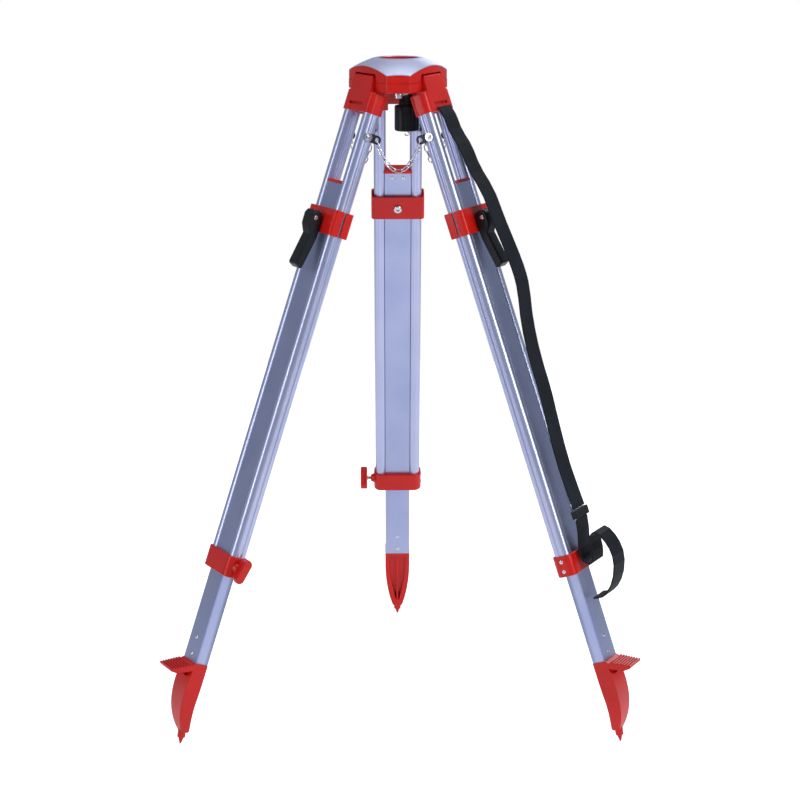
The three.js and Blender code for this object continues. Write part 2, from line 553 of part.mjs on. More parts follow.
function legGroup(side) {
  const group = new THREE.Group();
  const { paintedRed, aluminium, steel, blackPlastic } = finish;
  group.add(piece(`${side}_hinge_casting`, hingeCasting(), paintedRed));
  group.add(piece(`${side}_rail_a`, rail(RAIL_OFFSET), aluminium));
  group.add(piece(`${side}_rail_b`, rail(-RAIL_OFFSET), aluminium));
  group.add(piece(`${side}_collar`, collar(), paintedRed));
  group.add(piece(`${side}_thumb_screw`, thumbScrew(THUMB_TURN[side]), paintedRed));
  group.add(piece(`${side}_extension`, extensionTube(), aluminium));
  group.add(piece(`${side}_extension_cap`, extensionCap(), paintedRed));
  group.add(piece(`${side}_clamp_inner`, clampPlate(-CLAMP_FACE + 0.6, -2), paintedRed));
  group.add(piece(`${side}_clamp_outer`, clampPlate(CLAMP_FACE, 2), paintedRed));
  group.add(piece(`${side}_clamp_bolt`, clampBolt(), steel));
  group.add(piece(`${side}_cam_lever`, camLever(), blackPlastic));
  group.add(piece(`${side}_foot`, foot(), paintedRed));
  group.add(piece(`${side}_chain_tab_a`, chainTab(1), steel));
  group.add(piece(`${side}_chain_tab_b`, chainTab(-1), steel));
  return group;
}

function placeLeg(group, azimuth) {
  group.position.set(
    HINGE_R * Math.cos(THREE.MathUtils.degToRad(azimuth)),
    HINGE_R * Math.sin(THREE.MathUtils.degToRad(azimuth)),
    HINGE_Z,
  );
  group.rotation.set(0, -LEG_TILT, THREE.MathUtils.degToRad(azimuth), 'ZYX');
  group.updateMatrixWorld(true);
  tripod.add(group);
}

const legGroups = {};
for (const [side, azimuth] of Object.entries(LEGS)) {
  legGroups[side] = legGroup(side);
  placeLeg(legGroups[side], azimuth);
}

// ---- the three chains that keep the legs from spreading ----
// Each is a plain round solid here, hung between the eyes of two neighbouring tabs.
const CHAIN_SAG = 46;
const CHAIN_R = 2.6;
function chainEnd(side, sign) {
  return new THREE.Vector3(TAB_EYE_N, sign * (TAB_BACK + TAB_THICK / 2), TAB_Z - 12.5)
    .applyMatrix4(legGroups[side].matrixWorld);
}

function chain(start, end) {
  const points = [];
  const COUNT = 12;
  for (let i = 0; i <= COUNT; i += 1) {
    const t = i / COUNT;
    const point = start.clone().lerp(end, t);
    point.z -= CHAIN_SAG * (1 - (2 * t - 1) ** 2);
    points.push(point);
  }
  const section = new THREE.Shape();
  section.absarc(0, 0, CHAIN_R, 0, 2 * Math.PI, false);
  return toSolid(new THREE.ExtrudeGeometry(section, {
    steps: 16, extrudePath: new THREE.CatmullRomCurve3(points), bevelEnabled: false, curveSegments: 4,
  }));
}
tripod.add(piece('front_chain', chain(chainEnd('left', 1), chainEnd('right', -1)), finish.steel));
tripod.add(piece('left_chain', chain(chainEnd('rear', 1), chainEnd('left', -1)), finish.steel));
tripod.add(piece('right_chain', chain(chainEnd('right', 1), chainEnd('rear', -1)), finish.steel));

// ---- the carrying strap on the right leg ----
// Flat webbing, given as its middle line in the leg's X (outward) and Z (up).
const STRAP_HALF_WIDTH = 20;
const STRAP_THICK = 2.4;
function ribbon(points, halfWidth, closed = false) {
  const curve = new THREE.CatmullRomCurve3(points.map(([x, z]) => new THREE.Vector3(x, z, 0)), closed);
  const COUNT = points.length * 2;
  const left = [];
  const right = [];
  for (let i = 0; i <= COUNT; i += 1) {
    const p = curve.getPoint(i / COUNT);
    const d = curve.getTangent(i / COUNT);
    left.push([p.x - (d.y * STRAP_THICK) / 2, p.y + (d.x * STRAP_THICK) / 2]);
    right.push([p.x + (d.y * STRAP_THICK) / 2, p.y - (d.x * STRAP_THICK) / 2]);
  }
  return sideProfile(polygon([...left, ...right.reverse()]), -halfWidth, halfWidth, 1);
}
const strapRun = ribbon([[19, -48], [24, -66], [26, -90], [34, -119], [38, -155], [49, -198], [53, -249],
  [57, -288], [60, -326], [59, -356], [48, -411], [42, -466], [41, -529], [37, -584], [34, -650],
  [37, -722]], STRAP_HALF_WIDTH);
const strapLoop = ribbon([[36, -739], [32, -762], [24.5, -790], [27, -806], [40, -812], [46, -796],
  [50, -770], [62, -764], [76, -786], [79, -815], [64, -850], [42, -868], [24, -868]], STRAP_HALF_WIDTH);
const keeper = prism(roundedRect(5, STRAP_HALF_WIDTH + 3, 2), -737, -724, 4).translate([36.6, 0, 0]);
legGroups.right.add(piece('strap_run', strapRun, finish.webbing));
legGroups.right.add(piece('strap_loop', strapLoop, finish.webbing));
legGroups.right.add(piece('strap_keeper', keeper, finish.blackPlastic));

export default tripod;
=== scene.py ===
# %% [markdown]
# # A surveyor's tripod
# This lesson dresses a working CAD model of a surveyor's tripod. The CAD model already knows how big
# every part is and how it moves. Here each part gets the rounded edges, screws and finish of the real
# one. Lengths in the modelling cells are millimetres, because that is how such a thing is drawn;
# one matrix turns them into Blender's metres when a piece is finished.

# %% Load the working model
import json
import math

import bmesh
import bpy
from mathutils import Matrix, Vector


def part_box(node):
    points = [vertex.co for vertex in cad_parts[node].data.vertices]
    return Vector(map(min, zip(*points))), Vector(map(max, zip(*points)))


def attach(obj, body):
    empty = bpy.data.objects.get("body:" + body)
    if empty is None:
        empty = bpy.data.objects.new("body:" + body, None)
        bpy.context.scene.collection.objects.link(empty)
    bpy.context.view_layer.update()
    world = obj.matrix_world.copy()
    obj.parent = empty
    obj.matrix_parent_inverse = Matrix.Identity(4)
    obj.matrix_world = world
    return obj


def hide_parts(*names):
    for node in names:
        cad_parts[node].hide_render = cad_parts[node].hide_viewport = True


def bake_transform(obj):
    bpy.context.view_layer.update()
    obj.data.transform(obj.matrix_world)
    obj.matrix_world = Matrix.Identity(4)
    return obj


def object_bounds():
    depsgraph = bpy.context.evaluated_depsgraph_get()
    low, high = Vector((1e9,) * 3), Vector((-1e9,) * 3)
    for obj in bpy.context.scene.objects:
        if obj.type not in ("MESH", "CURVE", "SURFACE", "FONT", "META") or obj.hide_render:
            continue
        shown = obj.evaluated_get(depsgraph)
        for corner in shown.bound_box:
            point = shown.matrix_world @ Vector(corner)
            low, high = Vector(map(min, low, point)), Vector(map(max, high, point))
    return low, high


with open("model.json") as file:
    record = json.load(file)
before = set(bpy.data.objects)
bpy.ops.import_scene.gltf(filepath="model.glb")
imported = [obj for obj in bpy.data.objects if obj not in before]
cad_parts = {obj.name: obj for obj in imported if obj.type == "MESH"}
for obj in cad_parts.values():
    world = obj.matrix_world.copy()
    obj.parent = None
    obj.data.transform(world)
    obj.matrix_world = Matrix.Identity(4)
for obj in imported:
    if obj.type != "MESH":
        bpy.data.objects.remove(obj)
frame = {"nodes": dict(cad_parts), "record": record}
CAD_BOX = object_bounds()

JOINTS = {joint["name"]: joint for joint in frame["record"]["behaviour"]["joints"]}
SIDES = ("rear", "left", "right")

# %% [markdown]
# ## The camera
# The tripod is looked at from standing height, a little above its head, from over three metres away.
# A long lens from far off keeps the legs from splaying, which a wide lens close by would do.

# %% Place the camera
EYE_DISTANCE = 3.324
EYE_HEIGHT = 1.3412
HEADING = math.radians(0.535)  # the camera looks this far to the right of straight back
PITCH = math.radians(13.84)
ROLL = math.radians(-0.11)
TURN = math.radians(0.5)  # the tripod stands turned by this much

camera_data = bpy.data.cameras.new("Camera")
camera_data.sensor_width = 36
camera_data.lens = 92.68
camera_data.clip_end = 100
camera = bpy.data.objects.new("Camera", camera_data)
bpy.context.scene.collection.objects.link(camera)
camera.matrix_world = (
    Matrix.Translation((-EYE_DISTANCE * math.sin(TURN), -EYE_DISTANCE * math.cos(TURN), EYE_HEIGHT))
    @ Matrix.Rotation(-HEADING, 4, "Z")
    @ Matrix.Rotation(math.pi / 2 - PITCH, 4, "X")
    @ Matrix.Rotation(ROLL, 4, "Z")
)
bpy.context.scene.camera = camera
print("camera at", [round(x, 3) for x in camera.location])

# %% [markdown]
# ## The room
# Shiny metal shows the room around it, so the room matters more than the lamps. A pale floor and a pale
# backdrop wrap the tripod in white, and the world is a soft blue-grey that the aluminium can pick up.
# Camera rays see plain white behind the tripod; everything else sees the blue-grey room.

# %% Light the room
scene = bpy.context.scene
scene.view_settings.view_transform = "Standard"
world = bpy.data.worlds.new("Studio")
world.use_nodes = True
scene.world = world
tree = world.node_tree
tree.nodes.clear()
seen = tree.nodes.new("ShaderNodeBackground")
seen.inputs["Color"].default_value = (1, 1, 1, 1)
room = tree.nodes.new("ShaderNodeBackground")
room.inputs["Strength"].default_value = 0.30
sky = tree.nodes.new("ShaderNodeTexCoord")
split = tree.nodes.new("ShaderNodeSeparateXYZ")
shade = tree.nodes.new("ShaderNodeValToRGB")
shade.color_ramp.elements[0].position = 0.0
shade.color_ramp.elements[0].color = (0.86, 0.9, 1.0, 1)
shade.color_ramp.elements[1].position = 1.0
shade.color_ramp.elements[1].color = (0.5, 0.56, 0.78, 1)
path = tree.nodes.new("ShaderNodeLightPath")
mix = tree.nodes.new("ShaderNodeMixShader")
out = tree.nodes.new("ShaderNodeOutputWorld")
tree.links.new(sky.outputs["Generated"], split.inputs["Vector"])
tree.links.new(split.outputs["Z"], shade.inputs["Fac"])
tree.links.new(shade.outputs["Color"], room.inputs["Color"])
tree.links.new(path.outputs["Is Camera Ray"], mix.inputs["Fac"])
tree.links.new(room.outputs["Background"], mix.inputs[1])
tree.links.new(seen.outputs["Background"], mix.inputs[2])
tree.links.new(mix.outputs["Shader"], out.inputs["Surface"])


def softbox(name, where, aim, size, power, colour=(1, 1, 1)):
    data = bpy.data.lights.new(name, "AREA")
    data.shape = "RECTANGLE"
    data.size, data.size_y = size
    data.energy = power
    data.color = colour
    lamp = bpy.data.objects.new(name, data)
    lamp.matrix_world = Matrix.Translation(where) @ (
        (Vector(aim) - Vector(where)).to_track_quat("-Z", "Y").to_matrix().to_4x4()
    )
    scene.collection.objects.link(lamp)
    return lamp


MIDDLE = (0, 0, 0.6)
softbox("Key softbox", (2.6, -2.2, 2.0), MIDDLE, (1.0, 2.2), 44)
softbox("Fill softbox", (-3.0, -1.6, 1.4), MIDDLE, (0.8, 2.4), 20, (0.92, 0.94, 1))
softbox("Top softbox", (0.2, -0.4, 3.4), MIDDLE, (2.6, 2.6), 34)
softbox("Back softbox", (1.2, 3.0, 1.8), MIDDLE, (1.6, 2.0), 20, (0.92, 0.94, 1))

floor_mesh = bpy.data.meshes.new("Floor")
sheet = bmesh.new()
bmesh.ops.create_circle(sheet, cap_ends=True, segments=96, radius=2.6)
sheet.to_mesh(floor_mesh)
sheet.free()
floor = bpy.data.objects.new("Floor", floor_mesh)
floor.location.z = CAD_BOX[0][2] - 0.0005
scene.collection.objects.link(floor)
floor_paint = bpy.data.materials.new("pale floor")
floor_paint.use_nodes = True
floor_shader = floor_paint.node_tree.nodes["Principled BSDF"]
floor_shader.inputs["Base Color"].default_value = (0.95, 0.95, 0.96, 1)
floor_shader.inputs["Roughness"].default_value = 0.9
floor_shader.inputs["Specular IOR Level"].default_value = 0.1
floor_shader.inputs["Emission Color"].default_value = (1, 1, 1, 1)
glow = floor_paint.node_tree.nodes.new("ShaderNodeMapRange")
glow.inputs["To Min"].default_value = 0.2
glow.inputs["To Max"].default_value = 0.8
floor_path = floor_paint.node_tree.nodes.new("ShaderNodeLightPath")
floor_paint.node_tree.links.new(floor_path.outputs["Is Camera Ray"], glow.inputs["Value"])
floor_paint.node_tree.links.new(glow.outputs["Result"], floor_shader.inputs["Emission Strength"])
floor_mesh.materials.append(floor_paint)
print("room: four softboxes and a pale floor")

# %% [markdown]
# ## Patterns that several finishes share
# Enamel, metal and plastic all show two things up close: a grain, and slow blotches from handling and
# dust. Each is a small node group, so a finish only has to say how much of it there is. Both follow
# a `bench` attribute, which holds where each point was while the piece lay straight on the bench, so
# a grain runs along a leg even though the leg stands tilted.


# %% Build the shared node groups
def group_with(name, inputs, outputs):
    group = bpy.data.node_groups.new(name, "ShaderNodeTree")
    for label, kind, default in inputs:
        socket = group.interface.new_socket(label, in_out="INPUT", socket_type=kind)
        if default is not None:
            socket.default_value = default
    for label, kind in outputs:
        group.interface.new_socket(label, in_out="OUTPUT", socket_type=kind)
    return group, group.nodes.new("NodeGroupInput"), group.nodes.new("NodeGroupOutput")


def stretched_grain():
    """Fine streaks: noise squeezed across and drawn out along the bench's Z axis."""
    group, inside, outside = group_with(
        "Stretched grain",
        [("Vector", "NodeSocketVector", None), ("Across", "NodeSocketFloat", 900.0),
         ("Along", "NodeSocketFloat", 12.0)],
        [("Height", "NodeSocketFloat")],
    )
    scale = group.nodes.new("ShaderNodeCombineXYZ")
    for axis, source in zip("XYZ", ("Across", "Across", "Along")):
        group.links.new(inside.outputs[source], scale.inputs[axis])
    stretch = group.nodes.new("ShaderNodeVectorMath")
    stretch.operation = "MULTIPLY"
    noise = group.nodes.new("ShaderNodeTexNoise")
    noise.inputs["Scale"].default_value = 1.0
    noise.inputs["Detail"].default_value = 4.0
    group.links.new(inside.outputs["Vector"], stretch.inputs[0])
    group.links.new(scale.outputs["Vector"], stretch.inputs[1])
    group.links.new(stretch.outputs["Vector"], noise.inputs["Vector"])
    group.links.new(noise.outputs["Fac"], outside.inputs["Height"])
    return group


def handling_marks():
    """Slow blotches and a few small specks, as a mask from 0 to 1 for each."""
    group, inside, outside = group_with(
        "Handling marks",
        [("Vector", "NodeSocketVector", None), ("Blotch scale", "NodeSocketFloat", 14.0),
         ("Speck scale", "NodeSocketFloat", 420.0)],
        [("Blotch", "NodeSocketFloat"), ("Specks", "NodeSocketFloat")],
    )
    marks = (("Blotch scale", 0.35, 0.7, "Blotch"), ("Speck scale", 0.68, 0.76, "Specks"))
    for label, low, high, output in marks:
        noise = group.nodes.new("ShaderNodeTexNoise")
        noise.inputs["Detail"].default_value = 3.0
        ramp = group.nodes.new("ShaderNodeMapRange")
        ramp.inputs["From Min"].default_value = low
        ramp.inputs["From Max"].default_value = high
        group.links.new(inside.outputs["Vector"], noise.inputs["Vector"])
        group.links.new(inside.outputs[label], noise.inputs["Scale"])
        group.links.new(noise.outputs["Fac"], ramp.inputs["Value"])
        group.links.new(ramp.outputs["Result"], outside.inputs[output])
    return group


GRAIN = stretched_grain()
MARKS = handling_marks()
print("node groups:", GRAIN.name, "and", MARKS.name)

# %% [markdown]
# ## The finishes
# A finish is a Principled shader with its own colours, and with the two patterns feeding colour,
# roughness and a very shallow bump. Numbers that are the same all over sit on the shader's own sockets.


# %% Define a finish
def link_group(tree, group, vector, **values):
    node = tree.nodes.new("ShaderNodeGroup")
    node.node_tree = group
    tree.links.new(vector, node.inputs["Vector"])
    for label, value in values.items():
        node.inputs[label.replace("_", " ")].default_value = value
    return node


def blend_colours(tree, factor, low, high):
    node = tree.nodes.new("ShaderNodeMix")
    node.data_type = "RGBA"
    tree.links.new(factor, node.inputs["Factor"])
    node.inputs["A"].default_value = (*low, 1)
    node.inputs["B"].default_value = (*high, 1)
    return node.outputs["Result"]


def mapped(tree, factor, low, high):
    node = tree.nodes.new("ShaderNodeMapRange")
    tree.links.new(factor, node.inputs["Value"])
    node.inputs["To Min"].default_value = low
    node.inputs["To Max"].default_value = high
    return node.outputs["Result"]


def finish(name, low, high, rough, metallic=0.0, grain=(900.0, 900.0), bump=0.02, depth=0.0002,
           from_object=False, **sockets):
    """A finish between two colours and two roughnesses, with a shallow grain."""
    material = bpy.data.materials.new(name)
    material.use_nodes = True
    tree = material.node_tree
    shader = tree.nodes["Principled BSDF"]
    if from_object:
        place = tree.nodes.new("ShaderNodeTexCoord").outputs["Object"]
    else:
        attribute = tree.nodes.new("ShaderNodeAttribute")
        attribute.attribute_name = "bench"
        place = attribute.outputs["Vector"]
    marks = link_group(tree, MARKS, place)
    streaks = link_group(tree, GRAIN, place, Across=grain[0], Along=grain[1])
    tree.links.new(blend_colours(tree, marks.outputs["Blotch"], low, high), shader.inputs["Base Color"])
    tree.links.new(mapped(tree, streaks.outputs["Height"], *rough), shader.inputs["Roughness"])
    relief = tree.nodes.new("ShaderNodeBump")
    relief.inputs["Strength"].default_value = bump
    relief.inputs["Distance"].default_value = depth
    tree.links.new(streaks.outputs["Height"], relief.inputs["Height"])
    tree.links.new(relief.outputs["Normal"], shader.inputs["Normal"])
    shader.inputs["Metallic"].default_value = metallic
    for label, value in sockets.items():
        shader.inputs[label.replace("_", " ")].default_value = value
    return material


# %% Mix the finishes
ENAMEL = finish("red enamel", (0.74, 0.012, 0.006), (0.62, 0.009, 0.006), (0.24, 0.40), grain=(700, 700),
                bump=0.10, Specular_IOR_Level=0.3, Coat_Weight=0.2, Coat_Roughness=0.10)
ANODISED = finish("anodised aluminium", (0.50, 0.555, 0.80), (0.44, 0.50, 0.76), (0.26, 0.42), metallic=0.9,
                  grain=(1500, 9), bump=0.12)
RAIL_METAL = finish("bright anodised rail", (0.62, 0.66, 0.90), (0.57, 0.62, 0.87), (0.24, 0.38),
                    metallic=0.85, grain=(1500, 9), bump=0.10)
PLATE_METAL = finish("satin head plate", (0.74, 0.78, 0.98), (0.68, 0.73, 0.95), (0.36, 0.5), metallic=0.7,
                     grain=(1100, 1100), bump=0.12)
STEEL = finish("bright plated steel", (0.80, 0.80, 0.84), (0.68, 0.69, 0.75), (0.12, 0.26), metallic=1.0,
               grain=(900, 900), bump=0.04)
STEEL_CAD = finish("bright plated steel inside", (0.80, 0.80, 0.84), (0.68, 0.69, 0.75), (0.12, 0.26),
                   metallic=1.0, grain=(900, 900), bump=0.04, from_object=True)
BRASS = finish("yellow brass", (0.78, 0.58, 0.22), (0.66, 0.45, 0.16), (0.22, 0.34), metallic=1.0, bump=0.05)
PLASTIC = finish("black moulded plastic", (0.003, 0.005, 0.007), (0.005, 0.008, 0.011), (0.26, 0.42),
                 grain=(1200, 1200), bump=0.10, Specular_IOR_Level=0.35)
# Painted shade: the chain tabs are bright steel, painted near-black here for the shadow on their ends.
SHADED_TAB_STEEL = finish("tab steel in painted shade", (0.012, 0.013, 0.016), (0.02, 0.021, 0.026), (0.2, 0.36),
                    metallic=0.4)
print("finishes:", len(bpy.data.materials))


# %% [markdown]
# ## The webbing
# Webbing is woven: ribs run across it and fine yarns run along it. The finish reads a UV map named weave,
# meant to be laid out in metres across and along a strap; this script builds no such ribbon and gives
# this finish to no piece.

# %% Weave the webbing
RIB_PITCH = 0.0022  # one rib of the weave
YARN_PITCH = 0.0016


def wave(tree, source, pitch, direction):
    node = tree.nodes.new("ShaderNodeTexWave")
    node.bands_direction = direction
    node.inputs["Scale"].default_value = math.pi / (10 * pitch)
    node.inputs["Distortion"].default_value = 0.4
    tree.links.new(source, node.inputs["Vector"])
    return node.outputs["Fac"]


def webbing_finish():
    material = bpy.data.materials.new("black webbing")
    material.use_nodes = True
    tree = material.node_tree
    shader = tree.nodes["Principled BSDF"]
    uv = tree.nodes.new("ShaderNodeUVMap")
    uv.uv_map = "weave"
    ribs = wave(tree, uv.outputs["UV"], RIB_PITCH, "Y")
    yarns = wave(tree, uv.outputs["UV"], YARN_PITCH, "X")
    both = tree.nodes.new("ShaderNodeMath")
    both.operation = "MULTIPLY_ADD"
    tree.links.new(yarns, both.inputs[0])
    both.inputs[1].default_value = 0.45
    tree.links.new(ribs, both.inputs[2])
    colour = blend_colours(tree, both.outputs["Value"], (0.0035, 0.0045, 0.007), (0.012, 0.016, 0.028))
    tree.links.new(colour, shader.inputs["Base Color"])
    relief = tree.nodes.new("ShaderNodeBump")
    relief.inputs["Strength"].default_value = 0.5
    relief.inputs["Distance"].default_value = 0.0004
    tree.links.new(both.outputs["Value"], relief.inputs["Height"])
    tree.links.new(relief.outputs["Normal"], shader.inputs["Normal"])
    shader.inputs["Roughness"].default_value = 0.62
    shader.inputs["Sheen Weight"].default_value = 0.25
    shader.inputs["Sheen Tint"].default_value = (0.35, 0.45, 0.8, 1)
    return material


WEBBING = webbing_finish()
print("webbing ribs every", RIB_PITCH * 1000, "mm")

# %% [markdown]
# ## The benches
# Each piece is drawn straight, on a bench of its own: Z up along the leg, X outward from its face, Y across
# it. The bench's matrix then tilts the piece into place. The leg's hinge joint gives the origin and the
# Y axis, and the slide joint gives the direction along the leg, so nothing here is measured twice.

# %% Set up the benches
MM = Matrix.Scale(0.001, 4)


def leg_bench(side):
    hinge = JOINTS[f"{side}_leg_hinge"]
    across = Vector(hinge["axis"]).normalized()
    up = -Vector(JOINTS[f"{side}_extension_slide"]["axis"]).normalized()
    outward = across.cross(up)
    turn = Matrix((outward, across, up)).transposed().to_4x4()
    return Matrix.Translation(hinge["pos_m"]) @ turn @ MM


BENCH = {side: leg_bench(side) for side in SIDES}
HEAD_BENCH = MM


def span(node, bench):
    """Lowest and highest corner of a CAD node, in millimetres on a bench."""
    flat = bench.inverted()
    part = frame["nodes"][node]
    points = [flat @ part.matrix_world @ v.co for v in part.data.vertices]
    low = Vector(min(p[i] for p in points) for i in range(3))
    high = Vector(max(p[i] for p in points) for i in range(3))
    return low, high


collar_corners = span("rear_collar", BENCH["rear"])
print("rear collar on its bench:", [tuple(round(x, 1) for x in corner) for corner in collar_corners])

# %% [markdown]
# ## Modelling helpers
# Most parts of a tripod are cast, sawn or turned, so three moves make nearly all of them: raise an
# outline, spin a profile, and round the edges. A boolean modifier joins or cuts two such solids.


# %% Outlines and basic solids
def arc(cx, cy, radius, start, end, steps=8):
    """Points along an arc, angles in degrees."""
    angles = [math.radians(start + (end - start) * i / steps) for i in range(steps + 1)]
    return [(cx + radius * math.cos(a), cy + radius * math.sin(a)) for a in angles]


def rounded_box(half_x, half_y, radius, steps=6):
    cx, cy = half_x - radius, half_y - radius
    return (arc(cx, cy, radius, 0, 90, steps) + arc(-cx, cy, radius, 90, 180, steps)
            + arc(-cx, -cy, radius, 180, 270, steps) + arc(cx, -cy, radius, 270, 360, steps))


def curve(points, steps=8):
    """A smooth line through a few points, as a list of (x, y)."""
    line = []
    for i in range(len(points) - 1):
        p0 = points[max(i - 1, 0)]
        p1, p2 = points[i], points[i + 1]
        p3 = points[min(i + 2, len(points) - 1)]
        for step in range(steps):
            t = step / steps
            line.append(tuple(
                0.5 * (2 * b + (c - a) * t + (2 * a - 5 * b + 4 * c - d) * t * t + (3 * b - a - 3 * c + d) * t ** 3)
                for a, b, c, d in zip(p0, p1, p2, p3)
            ))
    return line + [tuple(points[-1])]


def raised(outline, low, high, along="Z"):
    """A solid: the outline's face, extruded from low to high along one axis of the bench."""
    spot = {"Z": lambda a, b: (a, b, low), "Y": lambda a, b: (a, low, b), "X": lambda a, b: (low, a, b)}[along]
    shape = bmesh.new()
    face = shape.faces.new([shape.verts.new(spot(a, b)) for a, b in outline])
    bmesh.ops.remove_doubles(shape, verts=shape.verts, dist=0.001)
    top = bmesh.ops.extrude_face_region(shape, geom=list(shape.faces))
    step = {"Z": (0, 0, high - low), "Y": (0, high - low, 0), "X": (high - low, 0, 0)}[along]
    bmesh.ops.translate(shape, vec=step, verts=[v for v in top["geom"] if isinstance(v, bmesh.types.BMVert)])
    bmesh.ops.recalc_face_normals(shape, faces=shape.faces)
    return shape


def turned(profile, steps=32):
    """A solid of revolution about Z, from (radius, height) pairs that start and end on the axis."""
    shape = bmesh.new()
    rim = [shape.verts.new((radius, 0, height)) for radius, height in profile]
    edges = [shape.edges.new(pair) for pair in zip(rim, rim[1:])]
    bmesh.ops.spin(shape, geom=rim + edges, cent=(0, 0, 0), axis=(0, 0, 1), angle=2 * math.pi,
                   steps=steps, use_merge=True)
    bmesh.ops.remove_doubles(shape, verts=shape.verts, dist=0.001)
    bmesh.ops.recalc_face_normals(shape, faces=shape.faces)
    return shape


def moved(shape, *matrices):
    for matrix in matrices:
        bmesh.ops.transform(shape, matrix=matrix, verts=shape.verts)
    return shape


def at(x, y, z):
    return Matrix.Translation((x, y, z))


ALONG_X = Matrix.Rotation(math.pi / 2, 4, "Y")
ALONG_Y = Matrix.Rotation(-math.pi / 2, 4, "X")


# %% Round edges, join and cut
def eased(shape, width, segments=2, sharper=30, where=None):
    """Rounds the edges that are sharper than an angle, and that `where` accepts."""
    limit = math.radians(sharper)
    edges = [e for e in shape.edges if len(e.link_faces) == 2 and e.calc_face_angle(0) > limit
             and (where is None or where((e.verts[0].co + e.verts[1].co) / 2))]
    bmesh.ops.bevel(shape, geom=edges, offset=width, offset_type="OFFSET", affect="EDGES",
                    segments=segments, profile=0.5, clamp_overlap=True, material=-1)
    return shape


def temporary(shape):
    mesh = bpy.data.meshes.new("temporary")
    shape.to_mesh(mesh)
    shape.free()
    item = bpy.data.objects.new("temporary", mesh)
    scene.collection.objects.link(item)
    return item


def combined(shape, other, how):
    """One solid from two: how is UNION, DIFFERENCE or INTERSECT."""
    first, second = temporary(shape), temporary(other)
    tool = first.modifiers.new("join", "BOOLEAN")
    tool.operation = how
    tool.solver = "EXACT"
    tool.object = second
    result = bmesh.new()
    result.from_object(first, bpy.context.evaluated_depsgraph_get())
    bmesh.ops.remove_doubles(result, verts=result.verts, dist=0.0005)
    for item in (first, second):
        mesh = item.data
        bpy.data.objects.remove(item)
        bpy.data.meshes.remove(mesh)
    return result


def together(*shapes):
    """Several closed shells as one piece, such as a row of rivets."""
    whole = bmesh.new()
    for shape in shapes:
        mesh = bpy.data.meshes.new("temporary")
        shape.to_mesh(mesh)
        shape.free()
        whole.from_mesh(mesh)
        bpy.data.meshes.remove(mesh)
    return whole


def piece(name, shape, material, body, bench=HEAD_BENCH, replaces=(), sharp=32, even=True):
    """Finishes a piece: puts it in place, gives it its finish and lets it ride on its body."""
    store = shape.verts.layers.float_vector.new("bench")
    for vert in shape.verts:
        vert[store] = vert.co * 0.001
    bmesh.ops.transform(shape, matrix=bench, verts=shape.verts)
    mesh = bpy.data.meshes.new(name)
    shape.to_mesh(mesh)
    shape.free()
    for polygon in mesh.polygons:
        polygon.use_smooth = True
    mesh.set_sharp_from_angle(angle=math.radians(sharp))
    mesh.materials.append(material)
    item = bpy.data.objects.new(name, mesh)
    scene.collection.objects.link(item)
    if even:
        shading = item.modifiers.new("Even shading", "WEIGHTED_NORMAL")
        shading.keep_sharp = True
    if body:
        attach(item, body)
    if replaces:
        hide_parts(*replaces)
    return item


print("helpers ready")

# %% [markdown]
# ## The head plate
# The plate is a shallow dome of sheet aluminium with a narrow flat seat round the opening. Its outline is
# the head's plan: three short corner faces, and three long hinge faces that bow outward. Spinning the
# dome's profile gives the crown, and cutting it with the plan leaves the wavy lower edge of the real one.

# %% Head plate
plate_low, plate_high = (Vector(corner) * 1000 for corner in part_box("head_top_plate"))
casting_low, _ = (Vector(corner) * 1000 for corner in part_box("head_casting"))
ring_low, _ = (Vector(corner) * 1000 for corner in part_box("head_lower_ring"))
HEAD_TOP = plate_high.z
SEAM = casting_low.z
HEAD_BOTTOM = ring_low.z
CORNER = -plate_low.y  # centre to a short corner face
SIDE = 56.5  # centre to the end of a hinge face
BOW = 5.0  # rise of a hinge face's middle
OPENING = 32.6
DOME = [(37, 0), (41, -0.9), (46, -2.9), (53, -5.6), (61.5, -9.3), (71, -14.3), (81.5, -20.5), (90, -26.5)]
SHEET = 1.6


def plan_outline(grow=0.0, steps=18):
    """The head's outline seen from above."""
    half = (SIDE - CORNER / 2) / math.cos(math.pi / 6)
    corner, side = CORNER + grow, SIDE + grow
    points = []
    for turn in (-90, 30, 150):
        out = Vector((math.cos(math.radians(turn)), math.sin(math.radians(turn))))
        across = Vector((-out.y, out.x))
        start, end = out * corner - across * half, out * corner + across * half
        face = math.radians(turn + 60)
        peak = Vector((math.cos(face), math.sin(face))) * (side + 2 * BOW)
        following = math.radians(turn + 120)
        out = Vector((math.cos(following), math.sin(following)))
        target = out * corner - Vector((-out.y, out.x)) * half
        points.append(tuple(start))
        for i in range(steps):
            t = i / steps
            points.append(tuple(end * (1 - t) ** 2 + peak * 2 * t * (1 - t) + target * t * t))
    return points


def dome(drop, floor):
    top = [(r, HEAD_TOP + z - drop) for r, z in DOME]
    return turned([(0, floor), (DOME[-1][0] + 8, floor), (DOME[-1][0] + 8, top[-1][1] - 5), *reversed(top),
                   (0, top[0][1])], steps=96)


def rounded_plan(grow, low, high, radius=2.2):
    block = raised(plan_outline(grow), low, high)
    corner_edges = [e for e in block.edges if abs(e.verts[0].co.z - e.verts[1].co.z) > 1
                    and e.calc_face_angle(0) > math.radians(14)]
    bmesh.ops.bevel(block, geom=corner_edges, offset=radius, offset_type="OFFSET", affect="EDGES",
                    segments=4, profile=0.5, clamp_overlap=False, material=-1)
    return block


def round_hole(radius, low, high, steps=72):
    return turned([(0, low), (radius, low), (radius, high), (0, high)], steps)


